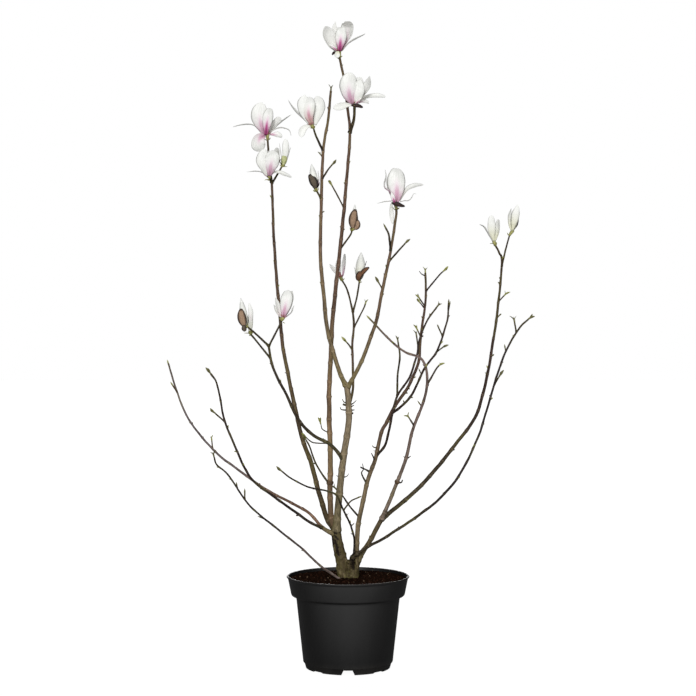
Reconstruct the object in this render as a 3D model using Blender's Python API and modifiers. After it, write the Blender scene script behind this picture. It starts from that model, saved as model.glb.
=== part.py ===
"""A young lily magnolia in bloom, with bare stems, growing in a round nursery pot.

Blender 4.5, metres, +Z up, front towards -Y. The origin is the middle of the pot's underside.
The pot and the soil are turned. The trunk, the boughs and the twigs are tapering tubes, and each
spray is one solid: a stem, its twigs, its buds and its blooms, fused.
"""

import math
import random

import bmesh
import bpy
from mathutils import Matrix, Vector

CM = 0.01
MM = 0.001
GAP = 0.3 * MM  # kept between neighbouring solids
WELD = 1e-6

# The eye that the stems were laid out from: level, in front of the pot
VIEW_DISTANCE = 3.52
EYE_HEIGHT = 0.725

# Pot: outside radii and heights
POT_HEIGHT = 208 * MM
RIM_RADIUS = 140 * MM
BAND_TOP_RADIUS = 136.5 * MM
BAND_FOOT_RADIUS = 129.5 * MM
BAND_FOOT_HEIGHT = 167 * MM
BODY_TOP_RADIUS = 117.5 * MM
BODY_TOP_HEIGHT = 156 * MM
HEEL_RADIUS = 102 * MM
HEEL_HEIGHT = 14 * MM
RING_RADIUS = 96 * MM
RING_WALL = 3.5 * MM
WALL = 2.4 * MM
FLOOR_HEIGHT = 12 * MM
CENTRE_FOOT_RADIUS = 18 * MM
POT_STEPS = 36
NOTCH_HEIGHT = 10.5 * MM
NOTCH_WIDTH = 20 * MM
NOTCH_FOOT_WIDTH = 30 * MM
RECESS_HEIGHT = 2 * MM
RECESS_WIDTH = 24 * MM
NOTCHES = 4

# Soil
SOIL_TOP = 203.5 * MM
SOIL_EDGE_TOP = 200.5 * MM
SOIL_FLAT_RADIUS = 50 * MM
SOIL_SLOPE_RADIUS = 98 * MM
SOIL_SLOPE_DROP = 1.4 * MM

# Stems
TRUNK_PARTS = ("trunk_left", "trunk_right", "trunk_crotch")
TRUNK_STEP = 1.2 * CM
RING_STEP = 3.0 * CM
TWIG_STEP = 2.4 * CM
TRUNK_SIDES = 10
BOUGH_SIDES = 6
THICK_BOUGH_SIDES = 8
THICK_BOUGH = 6  # mm of radius at the foot
TWIG_SIDES = 4
BUD_LENGTH = 15 * MM
BUD_RADIUS = 2.2 * MM
POINT_RADIUS = 0.35 * MM
SPUR_LENGTH = (9 * MM, 20 * MM)
SPUR_RADIUS = 1.3 * MM
SPUR_SPACING = 11 * CM
SPUR_TURN = math.radians(137.5)
SPUR_CLEARANCE = 6 * MM

# Blooms
TEPAL_THICKNESS = 1.2 * MM
RECEPTACLE_RADIUS = 4.8 * MM
RECEPTACLE_LENGTH = 11 * MM
TEPAL_SPREAD = 3.2 * MM  # how far from the bloom's axis a tepal's foot stands
TEPAL_CUP = 0.45  # how far a tepal's sides curl in, as a share of its half width
WIDEST_AT = 0.62  # where along its length a tepal is widest

SHADES = {
    "pot": ((0.020, 0.021, 0.022), 0.55),
    "soil": ((0.030, 0.018, 0.012), 0.95),
    "bark": ((0.200, 0.150, 0.105), 0.80),
    "blossom": ((0.860, 0.840, 0.800), 0.60),
}

# Each limb: its spots as (across, height, depth) in centimetres, as seen from the front; the
# radius at its foot and at its tip in millimetres; how many of its spots belong to the bough, the
# rest being the stem of the spray above it; and the limbs whose sides cut its foot.
LIMBS = {
    "trunk_left": dict(
        spots=[(-0.8, 19.4, 0), (-1.2, 22.6, 0), (-1.65, 25.0, 0), (-2.4, 28.2, 0), (-2.7, 30.6, 0),
               (-2.85, 32.0, 0)],
        radii=[11.0, 14.0, 13.2, 12.2, 11.2, 7.5], bough=6),
    "trunk_right": dict(
        spots=[(1.0, 19.4, 0), (1.2, 22.6, 0), (1.75, 24.8, 0), (2.2, 26.2, 0)],
        radii=[11.0, 13.6, 12.0, 7.5], bough=4),
    "trunk_crotch": dict(
        spots=[(0.1, 19.4, 0), (0.1, 22.6, 0), (0.2, 24.3, 0)], radii=[10.0, 9.0, 5.0], bough=3),
    "rear_middle": dict(
        spots=[(-2.75, 31.0, 0.4), (-3.9, 34.7, 1.4), (-4.1, 41.3, 2.2), (-4.0, 47.0, 2.5),
               (-4.3, 59.8, 2.3), (-4.0, 69.8, 2.0), (-3.3, 81.4, 2.0), (-1.9, 94.1, 3.5),
               (-0.6, 107.3, 6.0), (0.4, 120.5, 8.0), (0.0, 126.0, 9.5), (-0.9, 133.4, 10.5),
               (-1.9, 138.6, 11.0)],
        foot=6.2, tip=2.2, bough=8, cut_by=["trunk"]),
    "front": dict(
        spots=[(-2.6, 30.9, -0.4), (-2.3, 35.7, -1.6), (-2.0, 39.5, -2.2), (-1.1, 47.0, -3.8),
               (0.1, 54.8, -5.8), (0.15, 59.3, -6.4), (-0.3, 64.6, -7.0)],
        foot=6.4, tip=5.2, bough=7, cut_by=["trunk", "rear_middle"]),
    "rear_left": dict(
        spots=[(-2.9, 31.0, 0.3), (-4.8, 33.8, 2.0), (-6.6, 39.5, 5.0), (-8.6, 47.0, 8.0),
               (-10.4, 51.8, 11.0), (-12.6, 61.5, 14.0), (-14.5, 71.0, 16.0), (-15.4, 78.4, 17.0),
               (-16.8, 96.0, 17.0), (-17.3, 109.4, 15.5), (-17.9, 113.5, 17.5), (-18.3, 120.0, 18.0)],
        foot=5.6, tip=2.0, bough=8, cut_by=["trunk", "rear_middle", "front"]),
    "front_left": dict(
        spots=[(-0.5, 63.9, -7.0), (-2.1, 67.6, -8.2), (-4.6, 76.2, -10.5), (-5.5, 84.2, -12.0),
               (-6.3, 94.1, -13.0), (-6.1, 105.5, -13.0), (-5.7, 116.9, -12.0), (-4.5, 125.0, -11.2),
               (-3.9, 131.0, -10.0)],
        foot=4.6, tip=2.2, bough=5, cut_by=["front"]),
    "front_right": dict(
        spots=[(0.0, 63.6, -7.0), (3.2, 69.8, -9.5), (6.3, 78.3, -13.0), (7.7, 84.9, -15.0),
               (9.8, 95.1, -17.0), (10.9, 102.0, -18.0), (11.0, 104.2, -18.0)],
        foot=4.2, tip=2.2, bough=4, cut_by=["front", "front_left"]),
    "front_middle": dict(
        spots=[(0.1, 59.0, -6.4), (1.1, 62.8, -4.2), (1.1, 68.5, -1.0), (1.0, 73.5, 1.5),
               (1.35, 77.5, 3.6), (1.1, 80.7, 5.0)],
        foot=2.6, tip=2.0, bough=0, cut_by=["front"]),
    "left": dict(
        spots=[(-1.3, 47.4, -4.0), (-3.9, 50.4, -6.2), (-8.1, 52.8, -9.0), (-11.3, 56.3, -12.0),
               (-14.2, 62.2, -15.5), (-17.1, 68.1, -18.5), (-18.1, 73.1, -20.0)],
        foot=3.6, tip=2.2, bough=5, cut_by=["front"]),
    "right_upright": dict(
        spots=[(1.9, 25.2, 0.3), (2.1, 30.0, 1.4), (2.6, 33.8, 3.0), (4.5, 42.3, 7.0),
               (6.2, 47.0, 9.0), (7.6, 53.2, 12.0), (8.8, 55.5, 13.0), (10.7, 59.3, 15.0),
               (13.7, 63.7, 16.5), (16.0, 69.3, 17.5), (16.6, 75.2, 18.0), (17.7, 83.9, 18.5),
               (17.6, 89.6, 18.0)],
        foot=5.4, tip=2.0, bough=8, cut_by=["trunk"]),
    "right_outer": dict(
        spots=[(2.2, 24.0, -0.2), (3.5, 26.3, -0.4), (4.7, 28.1, -1.2), (8.0, 34.2, -4.2)],
        foot=5.2, tip=4.8, bough=4, cut_by=["trunk", "right_upright"]),
    "right_middle": dict(
        spots=[(7.7, 33.7, -4.0), (9.8, 38.5, -8.0), (13.2, 47.4, -14.0), (14.7, 53.7, -18.0),
               (17.3, 60.7, -22.0), (18.0, 65.6, -24.0), (16.8, 69.9, -25.0), (13.2, 71.5, -26.0),
               (10.0, 73.9, -27.0), (4.9, 79.2, -28.0)],
        foot=4.2, tip=1.4, bough=4, cut_by=["right_outer"]),
    "right_far": dict(
        spots=[(7.6, 33.5, -3.9), (12.7, 37.6, -1.0), (16.9, 41.5, 2.0), (21.0, 46.2, 5.0),
               (28.4, 55.8, 10.5), (30.5, 61.4, 13.0), (32.0, 67.9, 15.0), (33.7, 78.6, 17.0),
               (35.0, 91.4, 19.0), (34.4, 94.2, 18.6), (33.5, 95.9, 18.4)],
        foot=4.6, tip=2.0, bough=6, cut_by=["right_outer", "right_middle"]),
    "right_low": dict(
        spots=[(1.0, 24.6, -0.9), (2.6, 26.0, -1.8), (5.1, 27.6, -2.8), (9.1, 29.8, -5.5),
               (19.6, 37.1, -13.5), (25.6, 44.0, -18.0), (29.8, 52.8, -20.5), (32.1, 60.2, -22.0),
               (35.5, 70.8, -23.5), (38.9, 76.9, -24.0), (41.0, 79.0, -24.0)],
        foot=3.0, tip=1.5, bough=6, cut_by=["trunk", "right_upright", "right_outer"]),
    "right_inner": dict(
        spots=[(6.5, 48.0, 9.6), (8.4, 50.3, 7.6), (9.3, 53.6, 6.0), (11.0, 61.1, 4.0),
               (14.0, 65.9, 2.5), (15.7, 70.9, 1.5), (16.2, 74.1, 1.0), (18.0, 78.7, 0.0),
               (20.2, 81.8, -1.0)],
        foot=2.7, tip=1.5, bough=4, cut_by=["right_upright"]),
    "right_back": dict(
        spots=[(9.9, 57.6, 14.2), (11.9, 59.0, 17.0), (14.5, 61.9, 19.5), (17.5, 68.0, 23.0),
               (20.3, 71.9, 26.0), (22.5, 78.5, 28.0), (22.9, 82.8, 29.0)],
        foot=2.8, tip=1.6, bough=0, cut_by=["right_upright"]),
    "left_low": dict(
        spots=[(-2.8, 29.9, 0.0), (-4.9, 31.0, -1.2), (-6.6, 32.2, -2.0)],
        foot=4.6, tip=4.2, bough=3, cut_by=["trunk"]),
    "left_upper": dict(
        spots=[(-6.1, 31.8, -1.9), (-8.2, 34.3, -0.8), (-10.9, 36.2, 1.0), (-18.9, 40.5, 6.0),
               (-26.1, 45.6, 12.0), (-30.4, 49.1, 15.0), (-35.8, 55.5, 18.5), (-38.7, 61.9, 20.5),
               (-40.9, 69.0, 22.0)],
        foot=3.0, tip=1.6, bough=5, cut_by=["left_low"]),
    "left_lower": dict(
        spots=[(-6.0, 31.6, -2.0), (-8.4, 32.7, -3.6), (-12.6, 35.6, -5.0), (-20.6, 41.4, -9.0),
               (-23.3, 44.8, -11.0), (-25.4, 49.4, -13.0), (-28.2, 56.4, -15.5), (-29.7, 64.0, -17.0),
               (-31.2, 66.6, -18.0)],
        foot=2.8, tip=1.5, bough=4, cut_by=["left_low", "left_upper"]),
    "from_soil": dict(
        spots=[(-1.9, 19.9, -1.9), (-6.3, 23.0, -4.0), (-10.9, 27.2, -8.0), (-15.4, 30.8, -11.5),
               (-22.3, 36.6, -16.0), (-27.1, 43.4, -19.0), (-29.8, 45.9, -20.0), (-30.5, 47.8, -21.0)],
        foot=2.2, tip=1.3, bough=4, cut_by=["ground"]),
    "inner": dict(
        spots=[(1.3, 24.9, -0.8), (1.4, 28.9, -2.6), (0.6, 32.1, -4.2), (-1.2, 35.9, -6.2),
               (-2.6, 38.9, -7.6), (-4.9, 40.0, -8.6), (-9.4, 41.0, -10.5), (-12.9, 42.8, -12.0),
               (-15.0, 44.4, -13.0)],
        foot=1.9, tip=1.3, bough=0, cut_by=["trunk", "right_upright", "right_low"]),
    "knot": dict(
        spots=[(-4.1, 41.2, 2.2), (-7.3, 46.2, 1.2), (-8.7, 50.0, 0.2), (-9.5, 51.5, -0.4)],
        foot=1.8, tip=1.3, bough=0, cut_by=["rear_middle"]),
    "behind": dict(
        spots=[(2.5, 34.0, 3.1), (0.4, 36.5, 4.8), (-1.3, 38.9, 6.0), (-2.7, 40.4, 6.8)],
        foot=1.8, tip=1.2, bough=0, cut_by=["right_upright"]),
}

# Each spray: the limb whose upper stretch is its stem, its twigs, and what stands on their tips.
# A twig grows from the point of the stem nearest its first spot. A twig tip of "bud" ends in a
# pointed leaf bud, and any other names a bloom below.
SPRAYS = {
    "rear_left": dict(tip="wide_bloom", twigs=[
        ([(-17.5, 110.6, 15.0), (-17.9, 111.2, 13.6)], 2.4, "low_bloom"),
        ([(-16.9, 110.0, 15.4), (-15.2, 113.5, 13.4), (-15.0, 113.9, 13.0)], 1.8, "green_bud"),
    ]),
    "rear_middle": dict(tip="top_bloom", twigs=[
        ([(0.5, 121.5, 8.1), (1.3, 124.4, 7.0), (1.5, 127.4, 6.0)], 3.0, "upper_bloom"),
        ([(-1.2, 94.9, 3.6), (0.4, 98.0, 2.6), (1.0, 99.4, 2.0)], 1.6, "tan_bud"),
        ([(-1.0, 104.3, 5.5), (-2.4, 107.2, 5.0), (-3.6, 109.4, 4.6)], 1.3, "bud"),
    ]),
    "front_left": dict(tip="bud", twigs=[
        ([(-5.9, 117.3, -12.0), (-7.3, 120.8, -13.2), (-7.9, 122.7, -14.0)], 1.8, "side_bloom"),
        ([(-6.2, 106.4, -13.0), (-7.2, 108.4, -13.8)], 1.8, "fur_bud"),
        ([(-5.9, 110.8, -12.6), (-4.6, 113.0, -13.2), (-3.7, 114.1, -13.6)], 1.4, "bud"),
    ]),
    "front_right": dict(tip="spread_bloom", twigs=[
        ([(9.7, 94.6, -17.0), (9.3, 98.2, -18.6), (8.6, 99.8, -19.2)], 1.8, "bud"),
        ([(9.2, 92.0, -16.4), (11.9, 95.1, -15.4), (12.9, 96.2, -15.0)], 1.5, "bud"),
        ([(7.9, 85.8, -15.2), (7.1, 87.2, -15.9)], 1.2, "bud"),
    ]),
    "front_middle": dict(tip=None, twigs=[
        ([(1.1, 80.7, 5.0), (-0.1, 85.5, 7.6), (-1.4, 88.0, 8.8)], 1.6, "half_bloom"),
        ([(1.1, 80.6, 5.0), (2.0, 84.0, 7.0), (2.6, 87.7, 8.0)], 1.6, "brown_bloom"),
        ([(1.4, 77.0, 3.4), (3.5, 81.4, 4.2), (3.9, 82.4, 4.6)], 1.3, "bud"),
        ([(0.9, 72.2, 1.0), (-0.3, 73.8, -0.6)], 1.2, "bud"),
    ]),
    "left": dict(tip=None, twigs=[
        ([(-18.1, 73.0, -20.0), (-21.3, 76.0, -22.0), (-23.0, 77.4, -23.0)], 1.7, "far_fur_bud"),
        ([(-17.7, 70.0, -19.2), (-21.1, 74.4, -17.6), (-22.2, 75.7, -16.8)], 1.6, "pale_bud"),
        ([(-18.0, 72.8, -20.0), (-15.9, 77.0, -18.6), (-15.0, 78.9, -18.0)], 1.6, "leaning_bloom"),
    ]),
    "right_upright": dict(tip="bud", twigs=[
        ([(17.8, 85.4, 18.4), (20.8, 89.1, 16.8), (21.6, 89.9, 16.4)], 1.4, "bud"),
        ([(17.4, 82.0, 18.4), (16.4, 83.6, 19.2)], 1.2, "bud"),
    ]),
    "right_inner": dict(tip="bud", twigs=[
        ([(11.2, 61.6, 3.9), (11.3, 66.3, 5.0), (11.8, 70.5, 5.8), (11.4, 73.8, 6.4)], 1.7, "bud"),
        ([(16.0, 72.6, 1.2), (15.6, 75.2, 2.4)], 1.2, "bud"),
    ]),
    "right_back": dict(tip="bud", twigs=[
        ([(21.4, 75.2, 27.0), (20.6, 77.2, 28.6)], 1.2, "bud"),
        ([(20.0, 71.6, 25.6), (21.5, 72.6, 24.0)], 1.2, "bud"),
    ]),
    "right_middle": dict(tip="bud", twigs=[
        ([(18.0, 64.0, -23.4), (20.0, 67.6, -22.0), (20.6, 68.4, -21.4)], 1.5, "bud"),
        ([(15.0, 54.8, -18.6), (13.9, 56.6, -20.6)], 1.3, "bud"),
    ]),
    "right_far": dict(tip="open_bud", twigs=[
        ([(35.0, 91.0, 19.0), (35.9, 95.0, 20.4), (36.8, 98.3, 21.2)], 1.6, "slim_bloom"),
        ([(34.3, 83.0, 17.8), (35.5, 84.4, 18.6)], 1.2, "bud"),
    ]),
    "right_low": dict(tip="bud", twigs=[
        ([(33.2, 64.0, -22.6), (34.4, 66.0, -21.6)], 1.2, "bud"),
        ([(38.3, 76.0, -23.9), (37.9, 78.4, -24.4)], 1.2, "bud"),
    ]),
    "left_upper": dict(tip="bud", twigs=[
        ([(-30.8, 49.6, 15.2), (-31.0, 51.4, 16.6)], 1.2, "bud"),
        ([(-38.9, 62.4, 20.6), (-39.9, 64.0, 19.6)], 1.2, "bud"),
    ]),
    "left_lower": dict(tip="bud", twigs=[
        ([(-28.0, 55.6, -15.2), (-30.2, 57.6, -15.8)], 1.3, "bud"),
    ]),
    "from_soil": dict(tip="bud", twigs=[
        ([(-23.4, 38.2, -16.8), (-23.5, 39.6, -17.8)], 1.1, "bud"),
    ]),
    "inner": dict(tip="bud", twigs=[
        ([(-1.0, 35.6, -6.0), (0.6, 37.6, -7.2), (2.2, 38.4, -8.0)], 1.2, "bud"),
    ]),
    "knot": dict(tip="bud", twigs=[]),
    "behind": dict(tip="bud", twigs=[]),
}

# Each bloom: how far it leans to the right and to the back in degrees, and its tepals as
# (turn, lean at the foot, lean at the tip, length in cm, width in cm). A turn of 0 faces right, 90
# back, 180 left and 270 the front. A closed bud has a core as (length, width) in cm instead.
BLOOMS = {
    "top_bloom": dict(lean=(-5, 1), tepals=[
        (205, 48, -34, 8.0, 4.4), (262, 30, 60, 5.2, 3.0), (90, 16, 2, 7.0, 4.0),
        (35, 30, 4, 8.8, 4.4), (0, 38, 62, 7.6, 2.8), (145, 36, -12, 7.4, 3.8)]),
    "upper_bloom": dict(lean=(3, -2), tepals=[
        (228, 56, -24, 7.8, 4.4), (312, 54, -18, 7.8, 4.4), (130, 54, -20, 7.6, 4.4),
        (40, 58, -8, 7.8, 4.2), (12, 62, 98, 8.3, 2.6), (172, 86, 102, 5.2, 2.2)]),
    "side_bloom": dict(lean=(-6, -3), tepals=[
        (225, 50, -16, 8.0, 4.4), (318, 48, -20, 7.8, 4.4), (128, 48, -18, 7.8, 4.4),
        (40, 50, -16, 7.6, 4.2), (182, 60, 24, 8.8, 2.4), (215, 92, 172, 4.6, 2.6)]),
    "wide_bloom": dict(lean=(-5, 0), tepals=[
        (225, 42, -18, 8.0, 4.4), (315, 36, -12, 7.8, 4.2), (90, 40, -14, 7.6, 4.2),
        (24, 52, 44, 5.8, 3.0), (2, 40, 52, 7.8, 2.4), (180, 20, 114, 9.4, 2.8),
        (352, 30, 146, 6.8, 2.8), (300, 84, 112, 4.6, 3.0), (250, 78, 174, 6.2, 4.0)]),
    "low_bloom": dict(lean=(0, -4), tepals=[
        (212, 44, -20, 7.4, 4.4), (320, 50, -20, 7.8, 4.6), (86, 44, -18, 7.4, 4.4),
        (180, 72, 90, 5.2, 1.8), (345, 64, 116, 5.8, 2.6)]),
    "green_bud": dict(lean=(8, -2), core=(6.0, 2.0), tepals=[(0, 24, -10, 5.2, 1.6)]),
    "spread_bloom": dict(lean=(3, -1), tepals=[
        (268, 24, -10, 9.0, 4.8), (60, 30, -8, 8.6, 4.2), (125, 30, -8, 8.4, 4.2),
        (182, 60, -16, 8.8, 2.8), (350, 26, 76, 8.4, 3.6), (20, 88, 18, 6.2, 2.2),
        (186, 70, 96, 4.8, 2.0), (218, 108, 182, 4.8, 2.6)]),
    "open_bud": dict(lean=(-4, 0), tepals=[
        (250, 34, -16, 6.4, 3.4), (10, 32, -16, 6.4, 3.2), (120, 34, -14, 6.2, 3.2),
        (182, 46, 38, 5.8, 2.4)]),
    "slim_bloom": dict(lean=(10, 2), tepals=[
        (246, 32, -17, 6.6, 3.0), (8, 31, -15, 6.5, 3.0), (126, 30, -16, 6.3, 3.0)]),
    "half_bloom": dict(lean=(0, 4), tepals=[
        (182, 54, 34, 4.6, 2.4), (0, 18, -8, 6.2, 2.6), (90, 30, -8, 5.8, 2.8)]),
    "brown_bloom": dict(lean=(6, 0), core=(6.4, 2.2), tepals=[(345, 34, 30, 3.6, 2.2)]),
    "leaning_bloom": dict(lean=(14, -4), tepals=[
        (250, 32, -10, 7.2, 3.8), (330, 34, -8, 7.2, 3.6), (90, 32, -10, 7.0, 3.6),
        (182, 36, 8, 5.6, 2.4), (5, 60, 40, 4.6, 2.2)]),
    "tan_bud": dict(lean=(8, -2), core=(5.6, 2.1), tepals=[]),
    "fur_bud": dict(lean=(-10, -4), core=(5.6, 2.0), tepals=[(20, 20, 4, 5.4, 1.8)]),
    "far_fur_bud": dict(lean=(-12, -4), core=(6.6, 2.2), tepals=[]),
    "pale_bud": dict(lean=(0, 4), core=(6.4, 1.7), tepals=[]),
}


def clear_scene():
    for obj in list(bpy.data.objects):
        bpy.data.objects.remove(obj)


def new_collection(name):
    collection = bpy.data.collections.new(name)
    bpy.context.scene.collection.children.link(collection)
    return collection


def make_materials():
    materials = {}
    for name, (colour, roughness) in SHADES.items():
        material = bpy.data.materials.new(name)
        material.use_nodes = True
        shader = material.node_tree.nodes["Principled BSDF"]
        shader.inputs["Base Color"].default_value = (*colour, 1)
        shader.inputs["Roughness"].default_value = roughness
        material.diffuse_color = (*colour, 1)
        materials[name] = material
    return materials


def spot_at(across, height, depth):
    """The point that shows at this place from the front, slid along the sight line to its depth."""
    reach = (VIEW_DISTANCE + depth * CM) / VIEW_DISTANCE
    rise = height * CM - EYE_HEIGHT
    return Vector((across * CM * reach, depth * CM, EYE_HEIGHT + rise * reach))


def between(a, b, c, d, share):
    """The point between b and c on a smooth curve through all four."""
    return 0.5 * (2 * b + (c - a) * share + (2 * a - 5 * b + 4 * c - d) * share**2
                  + (3 * b - a - 3 * c + d) * share**3)


def smooth_path(points, step):
    """Points along a smooth curve through these, and where in that list each of these lies."""
    ends = [2 * points[0] - points[1], *points, 2 * points[-1] - points[-2]]
    path = [points[0]]
    stations = [0]
    for i in range(len(points) - 1):
        count = max(1, round((points[i + 1] - points[i]).length / step))
        path += [between(*ends[i:i + 4], (k + 1) / count) for k in range(count)]
        stations.append(len(path) - 1)
    return path, stations


def distances_along(path):
    along = [0.0]
    for a, b in zip(path, path[1:]):
        along.append(along[-1] + (b - a).length)
    return along


def limb_shape(limb, step=RING_STEP):
    """A limb's path, the radius at each of its points, and the path's index at each spot."""
    path, stations = smooth_path([spot_at(*spot) for spot in limb["spots"]], step)
    along = distances_along(path)
    if "radii" in limb:
        radii = []
        for i, (a, b) in enumerate(zip(stations, stations[1:])):
            low, high = limb["radii"][i:i + 2]
            span = along[b] - along[a]
            radii += [low + (high - low) * (along[k] - along[a]) / span for k in range(a, b)]
        radii.append(limb["radii"][-1])
    else:
        radii = [limb["foot"] + (limb["tip"] - limb["foot"]) * x / along[-1] for x in along]
    return path, [radius * MM for radius in radii], stations


def mesh_object(name, mesh, collection):
    obj = bpy.data.objects.new(name, mesh)
    collection.objects.link(obj)
    return obj


def turn_out(bm):
    """Makes a closed mesh's faces point outwards."""
    bmesh.ops.recalc_face_normals(bm, faces=bm.faces)
    if bm.calc_volume(signed=True) < 0:
        bmesh.ops.reverse_faces(bm, faces=bm.faces)


def realise(obj, weld):
    """Replaces an object by the mesh it evaluates to, its caps and seams welded where weld is set."""
    bpy.context.view_layer.update()
    graph = bpy.context.evaluated_depsgraph_get()
    mesh = bpy.data.meshes.new_from_object(obj.evaluated_get(graph))
    if weld:
        bm = bmesh.new()
        bm.from_mesh(mesh)
        bmesh.ops.remove_doubles(bm, verts=bm.verts, dist=WELD)
        turn_out(bm)
        bm.to_mesh(mesh)
        bm.free()
    name, collection, place = obj.name, obj.users_collection[0], obj.matrix_world.copy()
    bpy.data.objects.remove(obj)
    solid = mesh_object(name, mesh, collection)
    solid.matrix_world = place
    return solid


def make_tube(name, path, radii, collection, sides, grow=0.0):
    """A round tube along a path, fattened all over by grow where it is a cutter."""
    path = list(path)
    path[0] = path[0] - (path[1] - path[0]).normalized() * grow
    path[-1] = path[-1] + (path[-1] - path[-2]).normalized() * grow
    curve = bpy.data.curves.new(name, "CURVE")
    curve.dimensions = "3D"
    curve.bevel_depth = 1.0
    curve.bevel_resolution = (sides - 4) // 2
    curve.use_fill_caps = True
    spline = curve.splines.new("POLY")
    spline.points.add(len(path) - 1)
    for point, place, radius in zip(spline.points, path, radii):
        point.co = (*place, 1)
        point.radius = radius + grow
    obj = bpy.data.objects.new(name, curve)
    collection.objects.link(obj)
    return realise(obj, True)


def apply_boolean(obj, operation, others, solver="EXACT"):
    """Joins to, or cuts from, obj every object of the collection others, which is then emptied."""
    modifier = obj.modifiers.new("fuse", "BOOLEAN")
    modifier.operand_type = "COLLECTION"
    modifier.collection = others
    modifier.operation = operation
    modifier.solver = solver
    solid = realise(obj, False)
    for other in list(others.objects):
        bpy.data.objects.remove(other)
    return solid


def signed_volume(faces):
    total = 0.0
    for face in faces:
        corners = [loop.vert.co for loop in face.loops]
        for b, c in zip(corners[1:], corners[2:]):
            total += corners[0].dot(b.cross(c)) / 6
    return total


def connected_faces(bm):
    """The faces of a mesh, grouped into its separate surfaces."""
    left = set(bm.faces)
    groups = []
    while left:
        group = {left.pop()}
        edge = list(group)
        while edge:
            near = {other for side in edge.pop().edges for other in side.link_faces} - group
            group |= near
            edge += near
        left -= group
        groups.append(group)
    return groups


def keep_main_body(obj):
    """Fills sealed hollows and drops loose scraps: the largest surface alone is kept."""
    bm = bmesh.new()
    bm.from_mesh(obj.data)
    groups = sorted(connected_faces(bm), key=signed_volume)
    for group in groups[:-1]:
        bmesh.ops.delete(bm, geom=list(group), context="FACES")
    bmesh.ops.delete(bm, geom=[v for v in bm.verts if not v.link_faces], context="VERTS")
    bm.to_mesh(obj.data)
    bm.free()


def slab_below(height, collection):
    bpy.ops.mesh.primitive_cube_add(size=1, location=(0, 0, height - 0.5))
    slab = bpy.context.object
    for owner in list(slab.users_collection):
        owner.objects.unlink(slab)
    collection.objects.link(slab)
    return slab


def cut_foot(obj, names, cutters):
    """Cuts a limb's foot to the sides of the limbs it grows from or passes, a gap clear of them."""
    for name in names:
        if name == "ground":
            slab_below(SOIL_TOP + GAP, cutters)
        else:
            for part in TRUNK_PARTS if name == "trunk" else [name]:
                path, radii, stations = limb_shape(LIMBS[part])
                end = stations[max(LIMBS[part]["bough"], 2) - 1] + 1
                make_tube("cutter", path[:end], radii[:end], cutters, sides_of(part), GAP)
    solid = apply_boolean(obj, "DIFFERENCE", cutters)
    keep_main_body(solid)
    return solid


def sides_of(limb_name):
    if limb_name in TRUNK_PARTS:
        return TRUNK_SIDES
    return THICK_BOUGH_SIDES if LIMBS[limb_name]["foot"] > THICK_BOUGH else BOUGH_SIDES


def turned(name, profile, collection):
    """A solid turned from a profile that runs down its outer side."""
    mesh = bpy.data.meshes.new(name)
    edges = [(i, i + 1) for i in range(len(profile) - 1)]
    mesh.from_pydata([(r, 0, z) for r, z in profile], edges, [])
    obj = mesh_object(name, mesh, collection)
    screw = obj.modifiers.new("turn", "SCREW")
    screw.steps = screw.render_steps = POT_STEPS
    screw.use_merge_vertices = True
    screw.merge_threshold = WELD
    return realise(obj, True)


def inner_wall():
    """The pot's inside, from the floor to the rim."""
    floor_top = FLOOR_HEIGHT + WALL
    return [
        (HEEL_RADIUS - WALL - 0.6 * MM, floor_top),
        (BODY_TOP_RADIUS - WALL, BODY_TOP_HEIGHT + 1.5 * MM),
        (BAND_FOOT_RADIUS - WALL, BAND_FOOT_HEIGHT + 1 * MM),
        (BAND_TOP_RADIUS - WALL, SOIL_EDGE_TOP + 1 * MM),
        (BAND_TOP_RADIUS - WALL + 1 * MM, POT_HEIGHT - 1.5 * MM),
    ]


def make_pot(collection, cutters):
    profile = [(0, FLOOR_HEIGHT + WALL), *inner_wall()]
    profile += [
        (RIM_RADIUS - 2.5 * MM, POT_HEIGHT),
        (RIM_RADIUS, POT_HEIGHT - 2.4 * MM),
        (BAND_TOP_RADIUS, POT_HEIGHT - 6.5 * MM),
        (BAND_FOOT_RADIUS, BAND_FOOT_HEIGHT),
        (BAND_FOOT_RADIUS - 3.5 * MM, BAND_FOOT_HEIGHT - 6.5 * MM),
        (BODY_TOP_RADIUS, BODY_TOP_HEIGHT),
        (HEEL_RADIUS, HEEL_HEIGHT),
        (HEEL_RADIUS - 3 * MM, HEEL_HEIGHT - 3.5 * MM),
        (RING_RADIUS, 0),
        (RING_RADIUS - RING_WALL, 0),
        (RING_RADIUS - RING_WALL, FLOOR_HEIGHT),
        (CENTRE_FOOT_RADIUS, FLOOR_HEIGHT),
        (CENTRE_FOOT_RADIUS, 0),
        (0, 0),
    ]
    pot = turned("pot", profile, collection)
    for k in range(NOTCHES):
        notch_cutter(k / NOTCHES, NOTCH_HEIGHT, NOTCH_FOOT_WIDTH, NOTCH_WIDTH, cutters)
        notch_cutter((k + 0.5) / NOTCHES, RECESS_HEIGHT, RECESS_WIDTH, RECESS_WIDTH, cutters)
    return apply_boolean(pot, "DIFFERENCE", cutters)


def notch_cutter(share, height, foot_width, top_width, collection):
    """A block across the foot ring, this share of a turn from the front."""
    bm = bmesh.new()
    bmesh.ops.create_cube(bm, size=1)
    reach = 2 * (HEEL_RADIUS - RING_RADIUS + RING_WALL) + 4 * MM
    sink = 5 * MM
    for vert in bm.verts:
        top = vert.co.z > 0
        vert.co.x *= top_width if top else foot_width
        vert.co.y = vert.co.y * reach - RING_RADIUS
        vert.co.z = height if top else -sink
    bmesh.ops.rotate(bm, verts=bm.verts, matrix=Matrix.Rotation(2 * math.pi * share, 3, "Z"))
    mesh = bpy.data.meshes.new("notch")
    bm.to_mesh(mesh)
    bm.free()
    mesh_object("notch", mesh, collection)


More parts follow.
